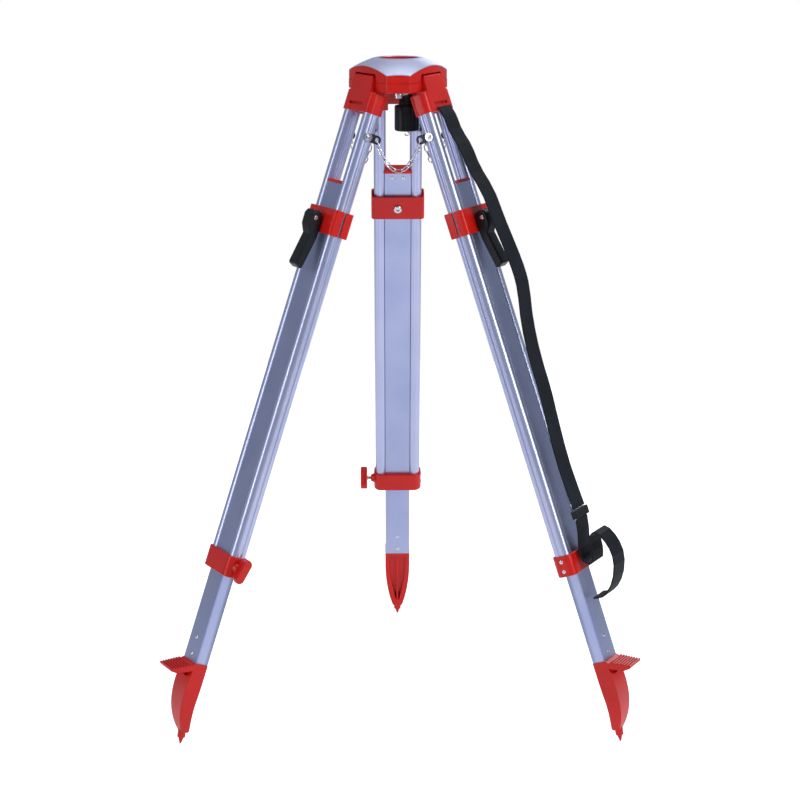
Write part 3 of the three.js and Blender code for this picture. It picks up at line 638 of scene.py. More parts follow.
plate = combined(rounded_plan(0.3, HEAD_BOTTOM, HEAD_TOP + 5), dome(0, HEAD_BOTTOM + 1), "INTERSECT")
plate = combined(plate, dome(SHEET, HEAD_BOTTOM), "DIFFERENCE")
plate = combined(plate, round_hole(OPENING, HEAD_BOTTOM - 2, HEAD_TOP + 2), "DIFFERENCE")
eased(plate, 0.45, 2, sharper=40)
piece("head_plate", plate, PLATE_METAL, "head", replaces=["head_top_plate"])
print("head plate", round(2 * CORNER), "mm across its corners")

# %% [markdown]
# ## The head casting and its lower ring
# Two red castings are bolted together under the plate, and pinch the hinge pins between them. Each hinge
# face has a pocket, open below, in which a leg's knuckle turns. The lower ring stands a little proud, and
# the seam between the two is a fine dark line.

# %% Head casting
HINGE_RADIUS = Vector(JOINTS["rear_leg_hinge"]["pos_m"]).xy.length * 1000
HINGE_HEIGHT = JOINTS["rear_leg_hinge"]["pos_m"][2] * 1000
POCKET_HALF = 32.0
POCKET_ROOM = 12.9  # pocket's top above the hinge
PIN_ROOM = 5.35
PIN_REACH = 45.4


def around(side):
    """Turns a shape drawn for a leg at azimuth 0 to that leg's azimuth."""
    x, y, _ = JOINTS[f"{side}_leg_hinge"]["pos_m"]
    return Matrix.Rotation(math.atan2(y, x), 4, "Z")


def with_pockets(block):
    for side in SIDES:
        room_floor, room_top = HEAD_BOTTOM - 3, HINGE_HEIGHT + POCKET_ROOM
        pocket = raised([(36, -POCKET_HALF), (95, -POCKET_HALF), (95, POCKET_HALF), (36, POCKET_HALF)],
                        room_floor, room_top)
        eased(pocket, 2.5, 3, where=lambda p: p.z > room_top - 1)
        pin = moved(turned([(0, -PIN_REACH), (PIN_ROOM, -PIN_REACH), (PIN_ROOM, PIN_REACH), (0, PIN_REACH)]),
                    ALONG_Y, at(HINGE_RADIUS, 0, HINGE_HEIGHT))
        block = combined(block, moved(pocket, around(side)), "DIFFERENCE")
        block = combined(block, moved(pin, around(side)), "DIFFERENCE")
    return block


casting = combined(rounded_plan(0, SEAM, HEAD_TOP + 3), dome(SHEET + 0.25, SEAM - 4), "INTERSECT")
casting = combined(casting, round_hole(OPENING + 0.4, HEAD_BOTTOM - 4, HEAD_TOP + 4), "DIFFERENCE")
casting = with_pockets(casting)
eased(casting, 0.5, 2, sharper=50)
piece("head_casting_body", casting, ENAMEL, "head", replaces=["head_casting"])

ring = rounded_plan(0.6, HEAD_BOTTOM, SEAM - 0.35)
eased(ring, 0.8, 2, where=lambda p: p.z < HEAD_BOTTOM + 0.1 or p.z > SEAM - 0.5)
ring = combined(ring, round_hole(OPENING, HEAD_BOTTOM - 4, HEAD_TOP), "DIFFERENCE")
ring = with_pockets(ring)
PIVOT = Vector(JOINTS["arm_swing"]["pos_m"]) * 1000
ring = combined(ring, moved(round_hole(3.35, HEAD_BOTTOM - 2, HEAD_BOTTOM + 10.4, 20), at(0, PIVOT.y, 0)),
                "DIFFERENCE")
piece("head_ring", ring, ENAMEL, "head", replaces=["head_lower_ring"])
print("head castings", round(HEAD_TOP - HEAD_BOTTOM), "mm deep with", len(SIDES), "pockets")

# %% [markdown]
# ## The arm, the screw and its knob
# Under the head a steel arm swings about a screw in the front corner. A slider runs in the arm's slot and
# carries the hollow fixing screw, which threads up into the instrument. A black knob turns it, with a slim
# neck for a first quick turn and a wide fluted grip for the last firm one.

# %% Arm, slider and fixing screw
TRAVEL = Vector(JOINTS["screw_travel"]["axis"])
ARM_BENCH = (
    MM @ Matrix.Translation((PIVOT.x, PIVOT.y, 0))
    @ Matrix.Rotation(-math.atan2(TRAVEL.x, TRAVEL.y), 4, "Z")
    @ Matrix.Translation((-PIVOT.x, -PIVOT.y, 0))
)
arm_low, arm_high = span("screw_arm", ARM_BENCH)
ARM_HALF = 11.0
arm = raised(arc(0, arm_high.y - ARM_HALF, ARM_HALF, 0, 180, 16) + arc(0, PIVOT.y, 7.5, 180, 360, 12),
             arm_low.z, arm_high.z)
slot_hole = raised(arc(0, 16.4, 4.6, 0, 180, 10) + arc(0, -16.4, 4.6, 180, 360, 10),
                   arm_low.z - 1, arm_high.z + 1)
eased(arm, 0.6, 2, where=lambda p: p.z < arm_low.z + 0.1 or p.z > arm_high.z - 0.1)
arm = combined(arm, slot_hole, "DIFFERENCE")
pivot_bore = moved(round_hole(3.4, arm_low.z - 1, arm_high.z + 1, 24), at(0, PIVOT.y, 0))
arm = combined(arm, pivot_bore, "DIFFERENCE")
piece("swinging_arm", arm, STEEL, "screw_arm", ARM_BENCH, replaces=["screw_arm"])

pivot_low, pivot_high = span("arm_pivot_screw", HEAD_BENCH)
pivot_head = turned([(0, pivot_low.z), (5, pivot_low.z), (6, pivot_low.z + 1), (6, pivot_low.z + 3.2),
                     (3, pivot_low.z + 3.2), (3, pivot_high.z), (0, pivot_high.z)], 32)
cross = raised([(-4, -0.7), (4, -0.7), (4, 0.7), (-4, 0.7)], pivot_low.z - 1, pivot_low.z + 1.2)
pivot_head = combined(pivot_head, cross, "DIFFERENCE")
piece("arm_pivot_slotted_screw", moved(pivot_head, at(0, PIVOT.y, 0)), STEEL, "head",
      replaces=["arm_pivot_screw"])

stud_low, stud_high = span("fixing_screw", ARM_BENCH)
THREAD_PITCH = 2.31  # 11 threads to the inch
THREAD_DEPTH = 1.1
stud_profile = [(0, stud_low.z), (3.05, stud_low.z), (3.05, arm_high.z + 3.55), (5.8, arm_high.z + 3.55)]
height = arm_high.z + 5
while height < stud_high.z - 3:
    stud_profile += [(5.95 - THREAD_DEPTH, height), (5.95, height + THREAD_PITCH / 2)]
    height += THREAD_PITCH
stud_profile += [(4.8, stud_high.z - 0.6), (4.2, stud_high.z), (2.2, stud_high.z), (2.2, stud_high.z - 14),
                 (0, stud_high.z - 14)]
piece("threaded_stud", turned(stud_profile, 40), STEEL, "fixing_screw", ARM_BENCH, replaces=["fixing_screw"])
bpy.data.objects["screw_slider"].data.materials.clear()
bpy.data.objects["screw_slider"].data.materials.append(STEEL_CAD)
print("stud", round(stud_high.z - arm_high.z), "mm above its arm")

# %% Knob
knob_low, knob_high = span("screw_knob", ARM_BENCH)
NECK = 13.0
GRIP = knob_high.x
GRIP_TOP = knob_high.z - 17
knob = turned([(0, knob_low.z), (GRIP - 2.5, knob_low.z), (GRIP - 0.6, knob_low.z + 1.2),
               (GRIP, knob_low.z + 3),
               (GRIP, GRIP_TOP - 2.4), (GRIP - 0.8, GRIP_TOP - 0.6), (GRIP - 2.4, GRIP_TOP),
               (NECK, GRIP_TOP),
               (NECK, knob_high.z - 1.6), (NECK - 1.5, knob_high.z), (3.4, knob_high.z),
               (3.4, knob_high.z - 3.7), (0, knob_high.z - 3.7)], 80)
FLUTES = 10
for i in range(FLUTES):
    turn = Matrix.Rotation(2 * math.pi * (i + 0.5) / FLUTES, 4, "Z")
    flute = turned([(0, knob_low.z - 2), (3.6, knob_low.z - 2), (3.6, GRIP_TOP - 7), (2.4, GRIP_TOP - 4),
                    (0, GRIP_TOP - 3.2)], 20)
    knob = combined(knob, moved(flute, at(GRIP + 2.1, 0, 0), turn), "DIFFERENCE")
knob = combined(knob, round_hole(4, knob_low.z - 1, knob_low.z + 12, 24), "DIFFERENCE")
eased(knob, 0.35, 2, sharper=35)
piece("fluted_knob", knob, PLASTIC, "fixing_screw", ARM_BENCH, replaces=["screw_knob"])


# %% Plumb hook
def wire(points, radius, sides=10, closed=False):
    """A round wire along a smooth line: a circle swept by a curve object's bevel, turned into a mesh."""
    data = bpy.data.curves.new("wire", "CURVE")
    data.dimensions = "3D"
    data.bevel_depth = radius
    data.bevel_resolution = sides // 4
    data.use_fill_caps = True
    spline = data.splines.new("POLY")
    spline.points.add(len(points) - 1)
    for spot, place in zip(spline.points, points):
        spot.co = (*place, 1)
    spline.use_cyclic_u = closed
    item = bpy.data.objects.new("wire", data)
    scene.collection.objects.link(item)
    bpy.context.view_layer.update()
    mesh = bpy.data.meshes.new_from_object(item.evaluated_get(bpy.context.evaluated_depsgraph_get()))
    bpy.data.objects.remove(item)
    bpy.data.curves.remove(data)
    shape = bmesh.new()
    shape.from_mesh(mesh)
    bpy.data.meshes.remove(mesh)
    bmesh.ops.remove_doubles(shape, verts=shape.verts, dist=0.0005)
    bmesh.ops.recalc_face_normals(shape, faces=shape.faces)
    return shape


hook_line = curve([(0, 0, 3), (0, 0, -0.6), (3.6, 0, -3.6), (3.4, 0, -6.6), (0.2, 0, -7.9), (-2.9, 0, -6.6),
                   (-3.2, 0, -4.6)], 6)
hook = together(turned([(0, knob_low.z + 0.6), (3.6, knob_low.z + 0.6), (3.6, knob_low.z + 11),
                        (0, knob_low.z + 11)], 24),
                wire([(x, y, z + knob_low.z) for x, y, z in hook_line], 0.9))
piece("wire_hook", hook, STEEL, "fixing_screw", ARM_BENCH, replaces=["plumb_hook"])
print("knob", round(2 * GRIP), "mm across, with", FLUTES, "flutes")

# %% [markdown]
# ## The hinge castings
# Each leg hangs from a red casting. Its knuckle turns in the head's pocket, its outer face lies flush with
# the head, and two deep sockets below take the rails. The sockets show as rounded shoulders with a
# recessed panel between them, where a strap can pass behind a narrow bar.

# %% Hinge casting
socket_low, socket_high = span("rear_hinge_casting", BENCH["rear"])
SOCKET_FACE = 16.0
SOCKET_HALF = socket_high.y
SOCKET_TOP = -20.0
SOCKET_BOTTOM = socket_low.z
TONGUE_HALF = 30.5
KNUCKLE = 12.0
RAIL_SPACING = 30.0
STRAP_BAR_TOP = -43.0


def rail_outline(centre, grow=0.0, flute=0.0):
    """A rail's section: two half rounds with short flats between, and a shallow flute down each flat."""
    radius, straight = 10 + grow, 3.5
    points = arc(straight, 0, radius, -90, 90, 16)
    if flute:
        points += curve([(straight, radius), (1.4, radius - flute * 0.8), (0, radius - flute),
                         (-1.4, radius - flute * 0.8), (-straight, radius)], 3)[1:-1]
    points += arc(-straight, 0, radius, 90, 270, 16)
    if flute:
        points += curve([(-straight, -radius), (-1.4, -radius + flute * 0.8), (0, -radius + flute),
                         (1.4, -radius + flute * 0.8), (straight, -radius)], 3)[1:-1]
    return [(x, y + centre) for x, y in points]


def hinge_casting():
    socket = raised(rounded_box(SOCKET_FACE, SOCKET_HALF, 11, 8), SOCKET_BOTTOM, SOCKET_TOP)
    eased(socket, 1.6, 3, where=lambda p: p.z > SOCKET_TOP - 0.1)
    eased(socket, 0.7, 2, where=lambda p: p.z < SOCKET_BOTTOM + 0.1)
    side = (arc(0, 0, KNUCKLE, 180, 72, 12)[::1] + [(9.5, 8.6)] + arc(11.4, 2.2, 4.4, 50, 4, 5)
            + [(SOCKET_FACE - 0.15, -2), (SOCKET_FACE - 0.15, SOCKET_TOP - 6), (-KNUCKLE, SOCKET_TOP - 6)])
    tongue = raised(side, -TONGUE_HALF, TONGUE_HALF, "Y")
    chamfer = 9.5
    for sign in (-1, 1):
        corner = raised([(sign * (TONGUE_HALF - chamfer), 14), (sign * (TONGUE_HALF + 2), 14),
                         (sign * (TONGUE_HALF + 2), -1.5), (sign * TONGUE_HALF, -1.5)], 3, 24, "X")
        tongue = combined(tongue, corner, "DIFFERENCE")
    eased(tongue, 0.8, 2, sharper=34, where=lambda p: p.z > SOCKET_TOP - 4)
    casting = combined(socket, tongue, "UNION")
    casting = combined(casting, moved(round_hole(PIN_ROOM, -TONGUE_HALF - 1, TONGUE_HALF + 1, 24), ALONG_Y),
                       "DIFFERENCE")
    for centre in (-RAIL_SPACING, RAIL_SPACING):
        bore = raised(rail_outline(centre, 0.35), SOCKET_BOTTOM - 1, -24.7)
        casting = combined(casting, bore, "DIFFERENCE")
    # the recess between the sockets, the slot above the strap's bar, and the hollow behind the web
    recess = raised(rounded_box(2, 18, 1.9, 5), SOCKET_BOTTOM - 2, STRAP_BAR_TOP + 1)
    casting = combined(casting, moved(recess, at(SOCKET_FACE + 0.4, 0, 0)), "DIFFERENCE")
    slot = raised(rounded_box(5, 21, 1.5, 4), STRAP_BAR_TOP, STRAP_BAR_TOP + 4.5)
    casting = combined(casting, moved(slot, at(SOCKET_FACE - 0.5, 0, 0)), "DIFFERENCE")
    hollow = raised([(-20, -16), (8, -16), (8, 16), (-20, 16)], SOCKET_BOTTOM - 1, -30)
    casting = combined(casting, hollow, "DIFFERENCE")
    return casting


for side in SIDES:
    piece(f"{side}_hinge_shoulder", hinge_casting(), ENAMEL, f"{side}_leg", BENCH[side],
          replaces=[f"{side}_hinge_casting"], sharp=38)
    pin = bpy.data.objects[f"hinge_pin_{side}"]
    pin.data.materials.clear()
    pin.data.materials.append(STEEL_CAD)
print("hinge castings", round(2 * SOCKET_HALF), "mm wide")

# %% [markdown]
# ## Rails and extensions
# The rails are drawn aluminium tubes with a shallow flute down each flat. The extension is a wider tube
# with a groove down each side that hugs a rail, so the two slide without a gap that could pinch. Its edges
# are rounded, and each rounded edge catches the light as one thin bright line.

# %% Rails
rail_low, rail_high = span("rear_rail_a", BENCH["rear"])


def rail(centre):
    tube = raised(rail_outline(centre, flute=0.9), rail_low.z, rail_high.z)
    bore = raised(rail_outline(centre, -1.8), rail_low.z - 1, rail_high.z + 1)
    return combined(tube, bore, "DIFFERENCE")


for side in SIDES:
    for label, centre in (("a", RAIL_SPACING), ("b", -RAIL_SPACING)):
        piece(f"{side}_fluted_rail_{label}", rail(centre), RAIL_METAL, f"{side}_leg", BENCH[side],
              replaces=[f"{side}_rail_{label}"])
print("rails", round(rail_high.z - rail_low.z), "mm long")

# %% Extension
ext_low, ext_high = span("rear_extension", BENCH["rear"])
EXT_FACE = ext_high.x


def grooved_outline(face, clearance, grow=0.0):
    """The extension's section: flat faces, and a hollow groove along each side for a rail."""
    radius, straight = 10 + clearance, 3.5
    reach = math.degrees(math.asin((face - straight) / radius))
    groove = (arc(straight, RAIL_SPACING, radius, -90 + reach, -90, 8)
              + arc(-straight, RAIL_SPACING, radius, -90, -90 - reach, 8))
    other = [(-x, -y) for x, y in groove]
    return [(x, y + (grow if y > 0 else -grow)) for x, y in groove + other]


def extension_tube():
    tube = raised(grooved_outline(EXT_FACE, 0.6), ext_low.z, ext_high.z)
    long_edges = [e for e in tube.edges if abs(e.verts[0].co.z - e.verts[1].co.z) > 100
                  and e.calc_face_angle(0) > math.radians(35)]
    bmesh.ops.bevel(tube, geom=long_edges, offset=1.3, offset_type="OFFSET", affect="EDGES", segments=3,
                    profile=0.5, clamp_overlap=True, material=-1)
    bore = raised(rounded_box(EXT_FACE - 2, 17.4, 1, 3), ext_low.z - 1, ext_high.z + 1)
    tube = combined(tube, bore, "DIFFERENCE")
    bolt_hole = moved(round_hole(4.35, -20, 20, 24), ALONG_X, at(0, 0, BOLT_HEIGHT))
    return combined(tube, bolt_hole, "DIFFERENCE")


BOLT_HEIGHT = -234.0


def dome_rivet(radius, rise, stem=1.0):
    """A round-headed rivet, standing up Z from the surface, with a dimple in its middle."""
    crown = [(radius * math.cos(math.radians(a)), rise * math.sin(math.radians(a))) for a in (0, 25, 50, 70)]
    return turned([(0, -stem), (radius * 0.5, -stem), (radius * 0.5, 0), *crown,
                   (radius * 0.22, rise * 0.98),
                   (radius * 0.16, rise * 0.45), (0, rise * 0.4)], 28)


RIVET_HEIGHTS = (-933.9, -961.8)
for side in SIDES:
    piece(f"{side}_grooved_extension", extension_tube(), ANODISED, f"{side}_extension", BENCH[side],
          replaces=[f"{side}_extension"])
    rivets = []
    for height in RIVET_HEIGHTS:
        outward = Matrix.Rotation(math.pi / 2, 4, "Y")
        inward = Matrix.Rotation(-math.pi / 2, 4, "Y")
        rivets.append(moved(dome_rivet(3.4, 1.5), outward, at(EXT_FACE, 0, height)))
        rivets.append(moved(dome_rivet(3.4, 1.5), inward, at(-EXT_FACE, 0, height)))
    piece(f"{side}_foot_rivets", together(*rivets), STEEL, f"{side}_extension", BENCH[side])
print("extensions", round(ext_high.z - ext_low.z), "mm long, rivets:", 4 * len(SIDES))

# %% [markdown]
# ## Caps and clamps
# A red cap closes each extension's top and carries two screws on its inner side. Just below, two C-shaped
# plates grip the rails, drawn together by a bolt that a black cam lever pulls on.

# %% Cap
cap_low, cap_high = span("rear_extension_cap", BENCH["rear"])
CAP_SEAT = ext_high.z + 0.35


def cap():
    lid = raised(grooved_outline(EXT_FACE + 0.8, 0.6), CAP_SEAT, cap_high.z)
    eased(lid, 1.6, 3, where=lambda p: p.z > cap_high.z - 0.1)
    plug = raised(rounded_box(EXT_FACE - 2.35, 17, 1, 3), cap_low.z, CAP_SEAT + 1)
    return combined(lid, plug, "UNION")


def pan_screw(radius, rise):
    """A pan-headed screw with a cross recess, standing up Z."""
    head = turned([(0, -1), (radius * 0.5, -1), (radius * 0.5, 0), (radius, 0), (radius, rise * 0.45),
                   (radius * 0.8, rise * 0.85), (radius * 0.4, rise), (0, rise)], 28)
    for turn in (0, 90):
        slot = raised([(-radius * 0.6, -0.45), (radius * 0.6, -0.45), (radius * 0.6, 0.45),
                       (-radius * 0.6, 0.45)],
                      rise * 0.45, rise + 1)
        head = combined(head, moved(slot, Matrix.Rotation(math.radians(turn + 20), 4, "Z")), "DIFFERENCE")
    return head


CAP_SCREW_HEIGHT = -179.5
for side in SIDES:
    piece(f"{side}_red_cap", cap(), ENAMEL, f"{side}_extension", BENCH[side],
          replaces=[f"{side}_extension_cap"])
    inward = Matrix.Rotation(-math.pi / 2, 4, "Y")
    screws = [moved(pan_screw(3.2, 1.8), inward, at(-EXT_FACE, y, CAP_SCREW_HEIGHT)) for y in (-9.5, 9.5)]
    piece(f"{side}_cap_screws", together(*screws), STEEL, f"{side}_extension", BENCH[side])
print("caps and", 2 * len(SIDES), "cap screws")


# %% Clamp plates
def clamp_outline(face, edge, half, wall):
    """A C-shaped section from one flange tip round to the other, and back inside."""
    sign = 1 if face > 0 else -1
    depth = abs(face)
    bend, inner = 6.0, 3.5
    tip = abs(edge)
    outer = ([(tip, -half)] + arc(depth - bend, -half + bend, bend, -90, 0, 8)
             + arc(depth - bend, half - bend, bend, 0, 90, 8) + [(tip, half)])
    hollow = ([(tip, half - wall)] + arc(depth - wall - 1 - inner, half - wall - inner, inner, 90, 0, 6)
              + arc(depth - wall - 1 - inner, -half + wall + inner, inner, 0, -90, 6)
              + [(tip, -half + wall)])
    return [(sign * x, y) for x, y in outer + hollow]


def clamp_plate(node):
    low, high = span(node, BENCH["rear"])
    face, edge = (high.x, low.x) if high.x > 10 else (low.x, high.x)
    plate = raised(clamp_outline(face, edge, high.y, 2.5), low.z, high.z)
    eased(plate, 0.8, 2, where=lambda p: p.z < low.z + 0.1 or p.z > high.z - 0.1)
    hole = moved(round_hole(4.35, -40, 40, 24), ALONG_X, at(0, 0, BOLT_HEIGHT))
    return combined(plate, hole, "DIFFERENCE")


def clamp_bolt():
    low, high = span("rear_clamp_bolt", BENCH["rear"])
    face = low.x + 4.05
    head = turned([(0, low.x), (5.2, low.x), (6.2, low.x + 0.5), (6.8, low.x + 1.4), (6.8, face), (4, face),
                   (4, PIN_OUT + 1.4), (0, PIN_OUT + 1.4)], 36)
    hexagon = raised([(3.2 * math.cos(math.radians(60 * i)), 3.2 * math.sin(math.radians(60 * i)))
                      for i in range(6)], low.x - 1, low.x + 2.6)
    head = moved(combined(head, hexagon, "DIFFERENCE"), ALONG_X)
    pin = turned([(0, -13.8), (3, -13.8), (3.5, -13.2), (3.5, 13.2), (3, 13.8), (0, 13.8)], 28)
    pin = moved(pin, ALONG_Y, at(PIN_OUT, 0, 0))
    return moved(combined(head, pin, "UNION"), at(0, 0, BOLT_HEIGHT))


PIN_OUT = 31.5
for side in SIDES:
    for part in ("inner", "outer"):
        piece(f"{side}_{part}_clamp_plate", clamp_plate(f"rear_clamp_{part}"), ENAMEL, f"{side}_extension",
              BENCH[side], replaces=[f"{side}_clamp_{part}"])
    piece(f"{side}_socket_bolt", clamp_bolt(), STEEL, f"{side}_extension", BENCH[side],
          replaces=[f"{side}_clamp_bolt"])
print("clamps at", BOLT_HEIGHT, "mm along each leg")

# %% [markdown]
# ## The cam levers
# A lever is one moulding: a rounded hub that turns on the cross pin, and a blade that knees away from the
# leg so that fingers fit behind it. The side view is the outline, and the long edges are well rounded.


# %% Lever
HUB = 12.4
LEVER_HALF = 13.0


def lever():
    outline = (arc(0, 0, HUB, 180, 62, 14) + arc(2.6, 3.4, 6.6, 40, 0, 4) + [(9.2, -6)]
               + [(8.6, -14), (1.8, -27), (10.5, -74)] + arc(6.2, -76.5, 4.6, 8, -62, 5)
               + arc(1.6, -79.8, 4.2, -80, -176, 5) + [(-12.2, -31), (-12.4, -18)])
    body = raised(outline, -LEVER_HALF, LEVER_HALF, "Y")
    eased(body, 2.2, 3, sharper=60, where=lambda p: abs(abs(p.y) - LEVER_HALF) < 0.1)
    slot = raised([(-16, -4.9), (4.9, -4.9), (4.9, 4.9), (-16, 4.9)], -5.2, 15)
    body = combined(body, slot, "DIFFERENCE")
    body = combined(body, moved(round_hole(3.7, -16, 16, 24), ALONG_Y), "DIFFERENCE")
    return moved(body, at(PIN_OUT, 0, BOLT_HEIGHT))


for side in SIDES:
    piece(f"{side}_black_lever", lever(), PLASTIC, f"{side}_lever", BENCH[side],
          replaces=[f"{side}_cam_lever"])
print("levers", 84, "mm long below the pin")

# %% [markdown]
# ## Collars and wing screws
# A red collar ties the two rails together at their lower ends, and the extension slides through it. A wing
# screw on one side bites the extension; two dome rivets hold the far side.

# %% Collar
collar_low, collar_high = span("rear_collar", BENCH["rear"])
COLLAR_HALF = 42.8
COLLAR_DEPTH = 17.5
COLLAR_MIDDLE = (collar_low.z + collar_high.z) / 2


def collar():
    body = raised(rounded_box(COLLAR_DEPTH, COLLAR_HALF, 12.8, 10), collar_low.z, collar_high.z)
    eased(body, 1.3, 3, where=lambda p: p.z > collar_high.z - 0.1 or p.z < collar_low.z + 0.1)
    boss = turned([(0, COLLAR_HALF - 8), (9.6, COLLAR_HALF - 8), (9.2, COLLAR_HALF - 1),
                   (7.2, COLLAR_HALF + 3),
                   (5.6, COLLAR_HALF + 5.6), (4.8, COLLAR_HALF + 6), (0, COLLAR_HALF + 6)], 32)
    body = combined(body, moved(boss, ALONG_Y, at(0, 0, COLLAR_MIDDLE)), "UNION")
    passage = raised(grooved_outline(EXT_FACE + 0.5, 0.15), collar_low.z - 1, collar_high.z + 1)
    body = combined(body, passage, "DIFFERENCE")
    for centre in (-RAIL_SPACING, RAIL_SPACING):
        bore = raised(rail_outline(centre, 0.3), collar_low.z + 3.7, collar_high.z + 1)
        body = combined(body, bore, "DIFFERENCE")
    thread_hole = moved(round_hole(2.9, 39, 60, 24), ALONG_Y, at(0, 0, COLLAR_MIDDLE))
    return combined(body, thread_hole, "DIFFERENCE")


for side in SIDES:
    piece(f"{side}_red_collar", collar(), ENAMEL, f"{side}_leg", BENCH[side],
          replaces=[f"{side}_collar"], sharp=36)
    facing_out = Matrix.Rotation(math.pi / 2, 4, "X")
    rivets = [moved(dome_rivet(3.3, 1.6), facing_out, at(0, -COLLAR_HALF, COLLAR_MIDDLE + rise))
              for rise in (-8, 8)]
    piece(f"{side}_collar_rivets", together(*rivets), STEEL, f"{side}_leg", BENCH[side])
print("collars round both rails,", round(2 * COLLAR_HALF), "mm wide")

# %% Wing screw
WING_TURN = {"rear": 48, "left": -14, "right": 30}
WING_FROM = 55.5
WING_TO = 67.5
SHAFT_START = 41.2


def wing():
    blade = raised([(10.5 * math.cos(math.radians(a)), 20.5 * math.sin(math.radians(a)))
                    for a in range(0, 360, 6)], WING_FROM, WING_TO, "Y")
    eased(blade, 1.8, 3, sharper=50)
    for sign in (-1, 1):
        hollow = moved(round_hole(60, -30, 30, 120), at(sign * 66.6, WING_TO, 0))
        hollow = combined(hollow, raised([(-100, WING_FROM + 2.6), (100, WING_FROM + 2.6), (100, 140),
                                          (-100, 140)], -40, 40), "INTERSECT")
        blade = combined(blade, hollow, "DIFFERENCE")
    eased(blade, 0.5, 2, sharper=40)
    return blade


for side in SIDES:
    turn = Matrix.Rotation(math.radians(WING_TURN[side]), 4, "Y")
    place = at(0, 0, COLLAR_MIDDLE)
    piece(f"{side}_wing", moved(wing(), turn, place), ENAMEL, f"{side}_thumb_screw", BENCH[side],
          replaces=[f"{side}_thumb_screw"])
    shaft = [(0, SHAFT_START), (1.9, SHAFT_START), (2.5, SHAFT_START + 0.7)]
    height = SHAFT_START + 1
    while height < COLLAR_HALF + 9:
        shaft += [(2.1, height), (2.55, height + 0.5)]
        height += 1.0
    shaft += [(2.2, height), (2.2, height + 0.5), (3.7, height + 0.6), (3.7, WING_FROM + 0.4),
              (0, WING_FROM + 0.4)]
    piece(f"{side}_brass_screw", moved(turned(shaft, 24), ALONG_Y, turn, place), BRASS,
          f"{side}_thumb_screw", BENCH[side])
print("wing screws:", len(SIDES))

# %% [markdown]
# ## The feet
# Each foot is a red spade that fills the extension's lower end and narrows to a point. Its inner face is
# hollow with a rib down the middle. Above the spade a ribbed pedal sticks out level with the ground, so
# that a boot can press the leg in, and a web under it carries the load.


# %% Foot
def bent(start, control, end, steps=8):
    """A quadratic arc from start to end, pulled toward control."""
    points = []
    for i in range(1, steps + 1):
        t = i / steps
        points.append(tuple((1 - t) ** 2 * a + 2 * t * (1 - t) * b + t * t * c
                            for a, b, c in zip(start, control, end)))
    return points


foot_low, foot_high = span("rear_foot", BENCH["rear"])
FOOT_TOP = ext_low.z
TIP = foot_low.z
NARROW = TIP + 22
FACE = EXT_FACE + 0.8
WIDE = 22.6
PEDAL = 46.0
TILT = (BENCH["rear"].to_3x3() @ Vector((0, 0, 1))).angle(Vector((0, 0, 1)))


def spade():
    side_view = [(-FACE, FOOT_TOP - 0.3), (-FACE, FOOT_TOP - 66)]
    side_view += bent(side_view[-1], (-13, NARROW + 26), (-22, NARROW + 2))
    side_view += [(-20, NARROW - 1), (-9, NARROW - 1)]
    side_view += bent(side_view[-1], (15, NARROW + 26), (15.5, FOOT_TOP - 46))
    side_view += bent(side_view[-1], (15.5, FOOT_TOP - 22), (FACE, FOOT_TOP - 6), 5)
    side_view += [(FACE, FOOT_TOP - 0.3)]
    front_view = [(-WIDE, FOOT_TOP + 2), (-WIDE, FOOT_TOP - 22)]
    front_view += bent(front_view[-1], (-WIDE, NARROW + 30), (-7, NARROW - 2))
    front_view += [(7, NARROW - 2)]
    front_view += bent(front_view[-1], (WIDE, NARROW + 30), (WIDE, FOOT_TOP - 22))
    front_view += [(WIDE, FOOT_TOP + 2)]
    body = combined(raised(side_view, -24, 24, "Y"), raised(front_view, -40, 40, "X"), "INTERSECT")
    eased(body, 1.6, 3, sharper=48, where=lambda p: p.z < FOOT_TOP - 1)
    for sign in (-1, 1):
        panel = [(sign * 1.5, FOOT_TOP - 5), (sign * 15.5, FOOT_TOP - 5)]
        panel += bent(panel[-1], (sign * 17.5, FOOT_TOP - 50), (sign * 3, NARROW + 12))
        panel += [(sign * 1.5, NARROW + 12)]
        body = combined(body, raised(panel, -32, -EXT_FACE + 4.2, "X"), "DIFFERENCE")
    plug = raised(rounded_box(EXT_FACE - 2.3, 17, 1, 3), FOOT_TOP - 2, FOOT_TOP + 30)
    return combined(body, plug, "UNION")


def pedal():
    step = [(2, -9), (PEDAL - 11, -8), (PEDAL - 1.5, -3.2), (PEDAL, -1.4), (PEDAL, 1.2)]
    ribs = 8
    pitch = 4.7
    for i in range(ribs):
        x = PEDAL - i * pitch
        step += [(x - 0.5, 2.5), (x - 2.4, 2.5), (x - 3.1, 0.2), (x - 4.2, 0.2)]
    step += [(2, 2.2)]
    tread = raised(step, -WIDE, WIDE, "Y")
    taper = raised([(2, -WIDE), (18, -WIDE), (PEDAL + 2, -WIDE + 2.6), (PEDAL + 2, WIDE - 2.6), (18, WIDE),
                    (2, WIDE)], -20, 20)
    tread = combined(tread, taper, "INTERSECT")
    eased(tread, 0.45, 2, sharper=30)
    web = raised([(0, -7), (30, -7), (14, -21), (0, -36)], -10, 10, "Y")
    eased(web, 1.2, 2, sharper=40)
    both = combined(tread, web, "UNION")
    for low in (-14, 6):
        recess = raised([(2, -10.5), (24, -10.5), (12, -20.5), (2, -30)], low, low + 8, "Y")
        both = combined(both, recess, "DIFFERENCE")
    moved(both, Matrix.Rotation(TILT, 4, "Y"), at(EXT_FACE - 3, 0, FOOT_TOP - 1))
    return combined(both, raised([(EXT_FACE + 0.3, -40), (90, -40), (90, 40), (EXT_FACE + 0.3, 40)],
                                 TIP, FOOT_TOP + 60), "INTERSECT")


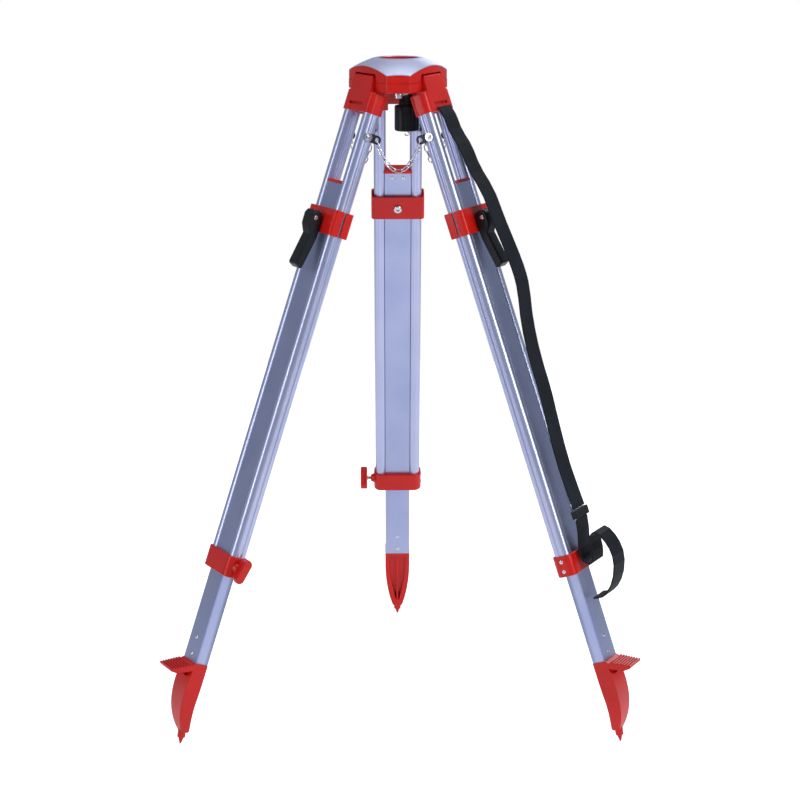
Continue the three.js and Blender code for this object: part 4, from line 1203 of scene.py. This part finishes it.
def foot():
    point = turned([(0, 0), (0.9, 0.6), (1.9, 3), (3.6, 8.5), (4.6, 11), (6.4, 12), (6.6, 24), (0, 26)], 28)
    moved(point, Matrix.Rotation(TILT / 2, 4, "Y"), at(-17, 0, TIP))
    whole = combined(spade(), pedal(), "UNION")
    return combined(whole, point, "UNION")


for side in SIDES:
    piece(f"{side}_spade_foot", foot(), ENAMEL, f"{side}_extension", BENCH[side], replaces=[f"{side}_foot"],
          sharp=34)
print("feet reach", round(foot_high.z - foot_low.z), "mm, tilt", round(math.degrees(TILT)), "degrees")

# %% [markdown]
# ## Tabs and chains
# A chain hangs between each pair of neighbouring legs and stops them from spreading. Each end hooks on a
# steel tab, which a bright round washer and screw hold on the rail's side. The tab is painted near-black as
# painted shade: the real tab is bright steel whose end lies in shadow.

# %% Chain tabs
TAB_HEIGHT = -89.0
TAB_FACE = 40.35
EYE_OUT = -17.0


def tab_plate():
    outline = arc(0, 0, 6.4, -90, 90, 12) + arc(EYE_OUT, 0, 7.3, 90, 270, 12)
    plate = raised(outline, TAB_FACE, TAB_FACE + 1.6, "Y")
    eased(plate, 0.4, 2, sharper=40)
    eye = moved(round_hole(3.7, TAB_FACE - 1, TAB_FACE + 4, 24), ALONG_Y, at(EYE_OUT, 0, 0))
    return combined(plate, eye, "DIFFERENCE")


def tab_washer():
    return turned([(0, TAB_FACE + 1.3), (7, TAB_FACE + 1.3), (7, TAB_FACE + 2.1), (6.6, TAB_FACE + 2.4),
                   (4.9, TAB_FACE + 2.4), (4.7, TAB_FACE + 1.9), (4.3, TAB_FACE + 1.9),
                   (4.1, TAB_FACE + 3.2),
                   (3.2, TAB_FACE + 4.0), (1.5, TAB_FACE + 4.1), (1.4, TAB_FACE + 2.2), (0, TAB_FACE + 2.2)], 40)


MIRROR_Y = Matrix.Scale(-1, 4, (0, 1, 0))
for side in SIDES:
    for label, sign in (("a", 1), ("b", -1)):
        parts = [moved(tab_plate(), at(0, 0, TAB_HEIGHT)),
                 moved(tab_washer(), ALONG_Y, at(0, 0, TAB_HEIGHT))]
        if sign < 0:
            for part in parts:
                moved(part, MIRROR_Y)
                bmesh.ops.reverse_faces(part, faces=part.faces)
        # The tab plate gets the painted-shade steel: near-black for the shadow on a bright steel tab.
        piece(f"{side}_tab_plate_{label}", parts[0], SHADED_TAB_STEEL, f"{side}_leg", BENCH[side],
              replaces=[f"{side}_chain_tab_{label}"])
        piece(f"{side}_tab_washer_{label}", parts[1], STEEL, f"{side}_leg", BENCH[side])
print("tabs:", 2 * len(SIDES))


# %% Chains
LINK_LONG = 14.4
LINK_WIDE = 8.4
LINK_WIRE = 0.95
HALF_STRAIGHT = (LINK_LONG - LINK_WIDE) / 2
SAG = 46.0


def link():
    mid = LINK_WIDE / 2 - LINK_WIRE
    path = [(mid * math.cos(math.radians(a)), 0, HALF_STRAIGHT + mid * math.sin(math.radians(a)))
            for a in range(0, 181, 30)]
    path += [(mid * math.cos(math.radians(a)), 0, -HALF_STRAIGHT + mid * math.sin(math.radians(a)))
             for a in range(180, 361, 30)]
    return wire(path, LINK_WIRE, 8, closed=True)


def hanging_line(start, end, count=200):
    return [start.lerp(end, i / count) - Vector((0, 0, SAG * (1 - (2 * i / count - 1) ** 2)))
            for i in range(count + 1)]


def spread_along(line, count):
    """Places and directions of links spaced evenly along a line."""
    lengths = [0.0]
    for a, b in zip(line, line[1:]):
        lengths.append(lengths[-1] + (b - a).length)
    spots = []
    for i in range(count):
        goal = lengths[-1] * (i + 0.5) / count
        j = max(k for k in range(len(lengths)) if lengths[k] <= goal)
        j = min(j, len(line) - 2)
        way = (line[j + 1] - line[j]).normalized()
        spots.append((line[j] + way * (goal - lengths[j]), way, (i + 0.5) / count))
    return spots, lengths[-1]


def chain_end(side, sign):
    return BENCH[side] @ Vector((EYE_OUT, sign * (TAB_FACE + 0.8), TAB_HEIGHT - 3)) * 1000


CHAINS = {"front_chain": ("left", "right"), "left_chain": ("rear", "left"), "right_chain": ("right", "rear")}
PITCH_OF_LINKS = LINK_LONG - 4 * LINK_WIRE
for chain_name, (first, second) in CHAINS.items():
    line = hanging_line(chain_end(first, 1), chain_end(second, -1))
    total = sum((b - a).length for a, b in zip(line, line[1:]))
    count = round(total / PITCH_OF_LINKS)
    spots, total = spread_along(line, count)
    for i, (place, way, part) in enumerate(spots):
        turn = way.to_track_quat("Z", "X").to_matrix().to_4x4()
        roll = Matrix.Rotation(math.radians(45 + 90 * (i % 2)), 4, "Z")
        shape = link()
        moved(shape, Matrix.Translation(place) @ turn @ roll)
        item = piece(f"{chain_name}_link_{i + 1}", shape, STEEL, None, MM, even=False,
                     replaces=[chain_name] if i == 0 else ())
        centre = place * 0.001
        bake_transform(item)
print(chain_name, "has", count, "links and is", round(total), "mm long")

# %% [markdown]
# ## The strap
# The strap and its keeper stay as the CAD model draws them. Their finishes follow object coordinates,
# since these parts carry no bench attribute.

# %% Strap finishes
WEBBING_CAD = finish("black webbing outside", (0.004, 0.006, 0.009), (0.010, 0.014, 0.022), (0.55, 0.7),
                     grain=(900, 900), bump=0.3, from_object=True, Specular_IOR_Level=0.25)
PLASTIC_CAD = finish("black plastic keeper", (0.003, 0.005, 0.007), (0.005, 0.008, 0.011), (0.26, 0.42),
                     grain=(1200, 1200), bump=0.10, from_object=True, Specular_IOR_Level=0.35)
STRAP_FINISH = {"strap_run": WEBBING_CAD, "strap_loop": WEBBING_CAD, "strap_keeper": PLASTIC_CAD}
for node, material in STRAP_FINISH.items():
    strap_part = frame["nodes"][node]
    strap_part.data.materials.clear()
    strap_part.data.materials.append(material)
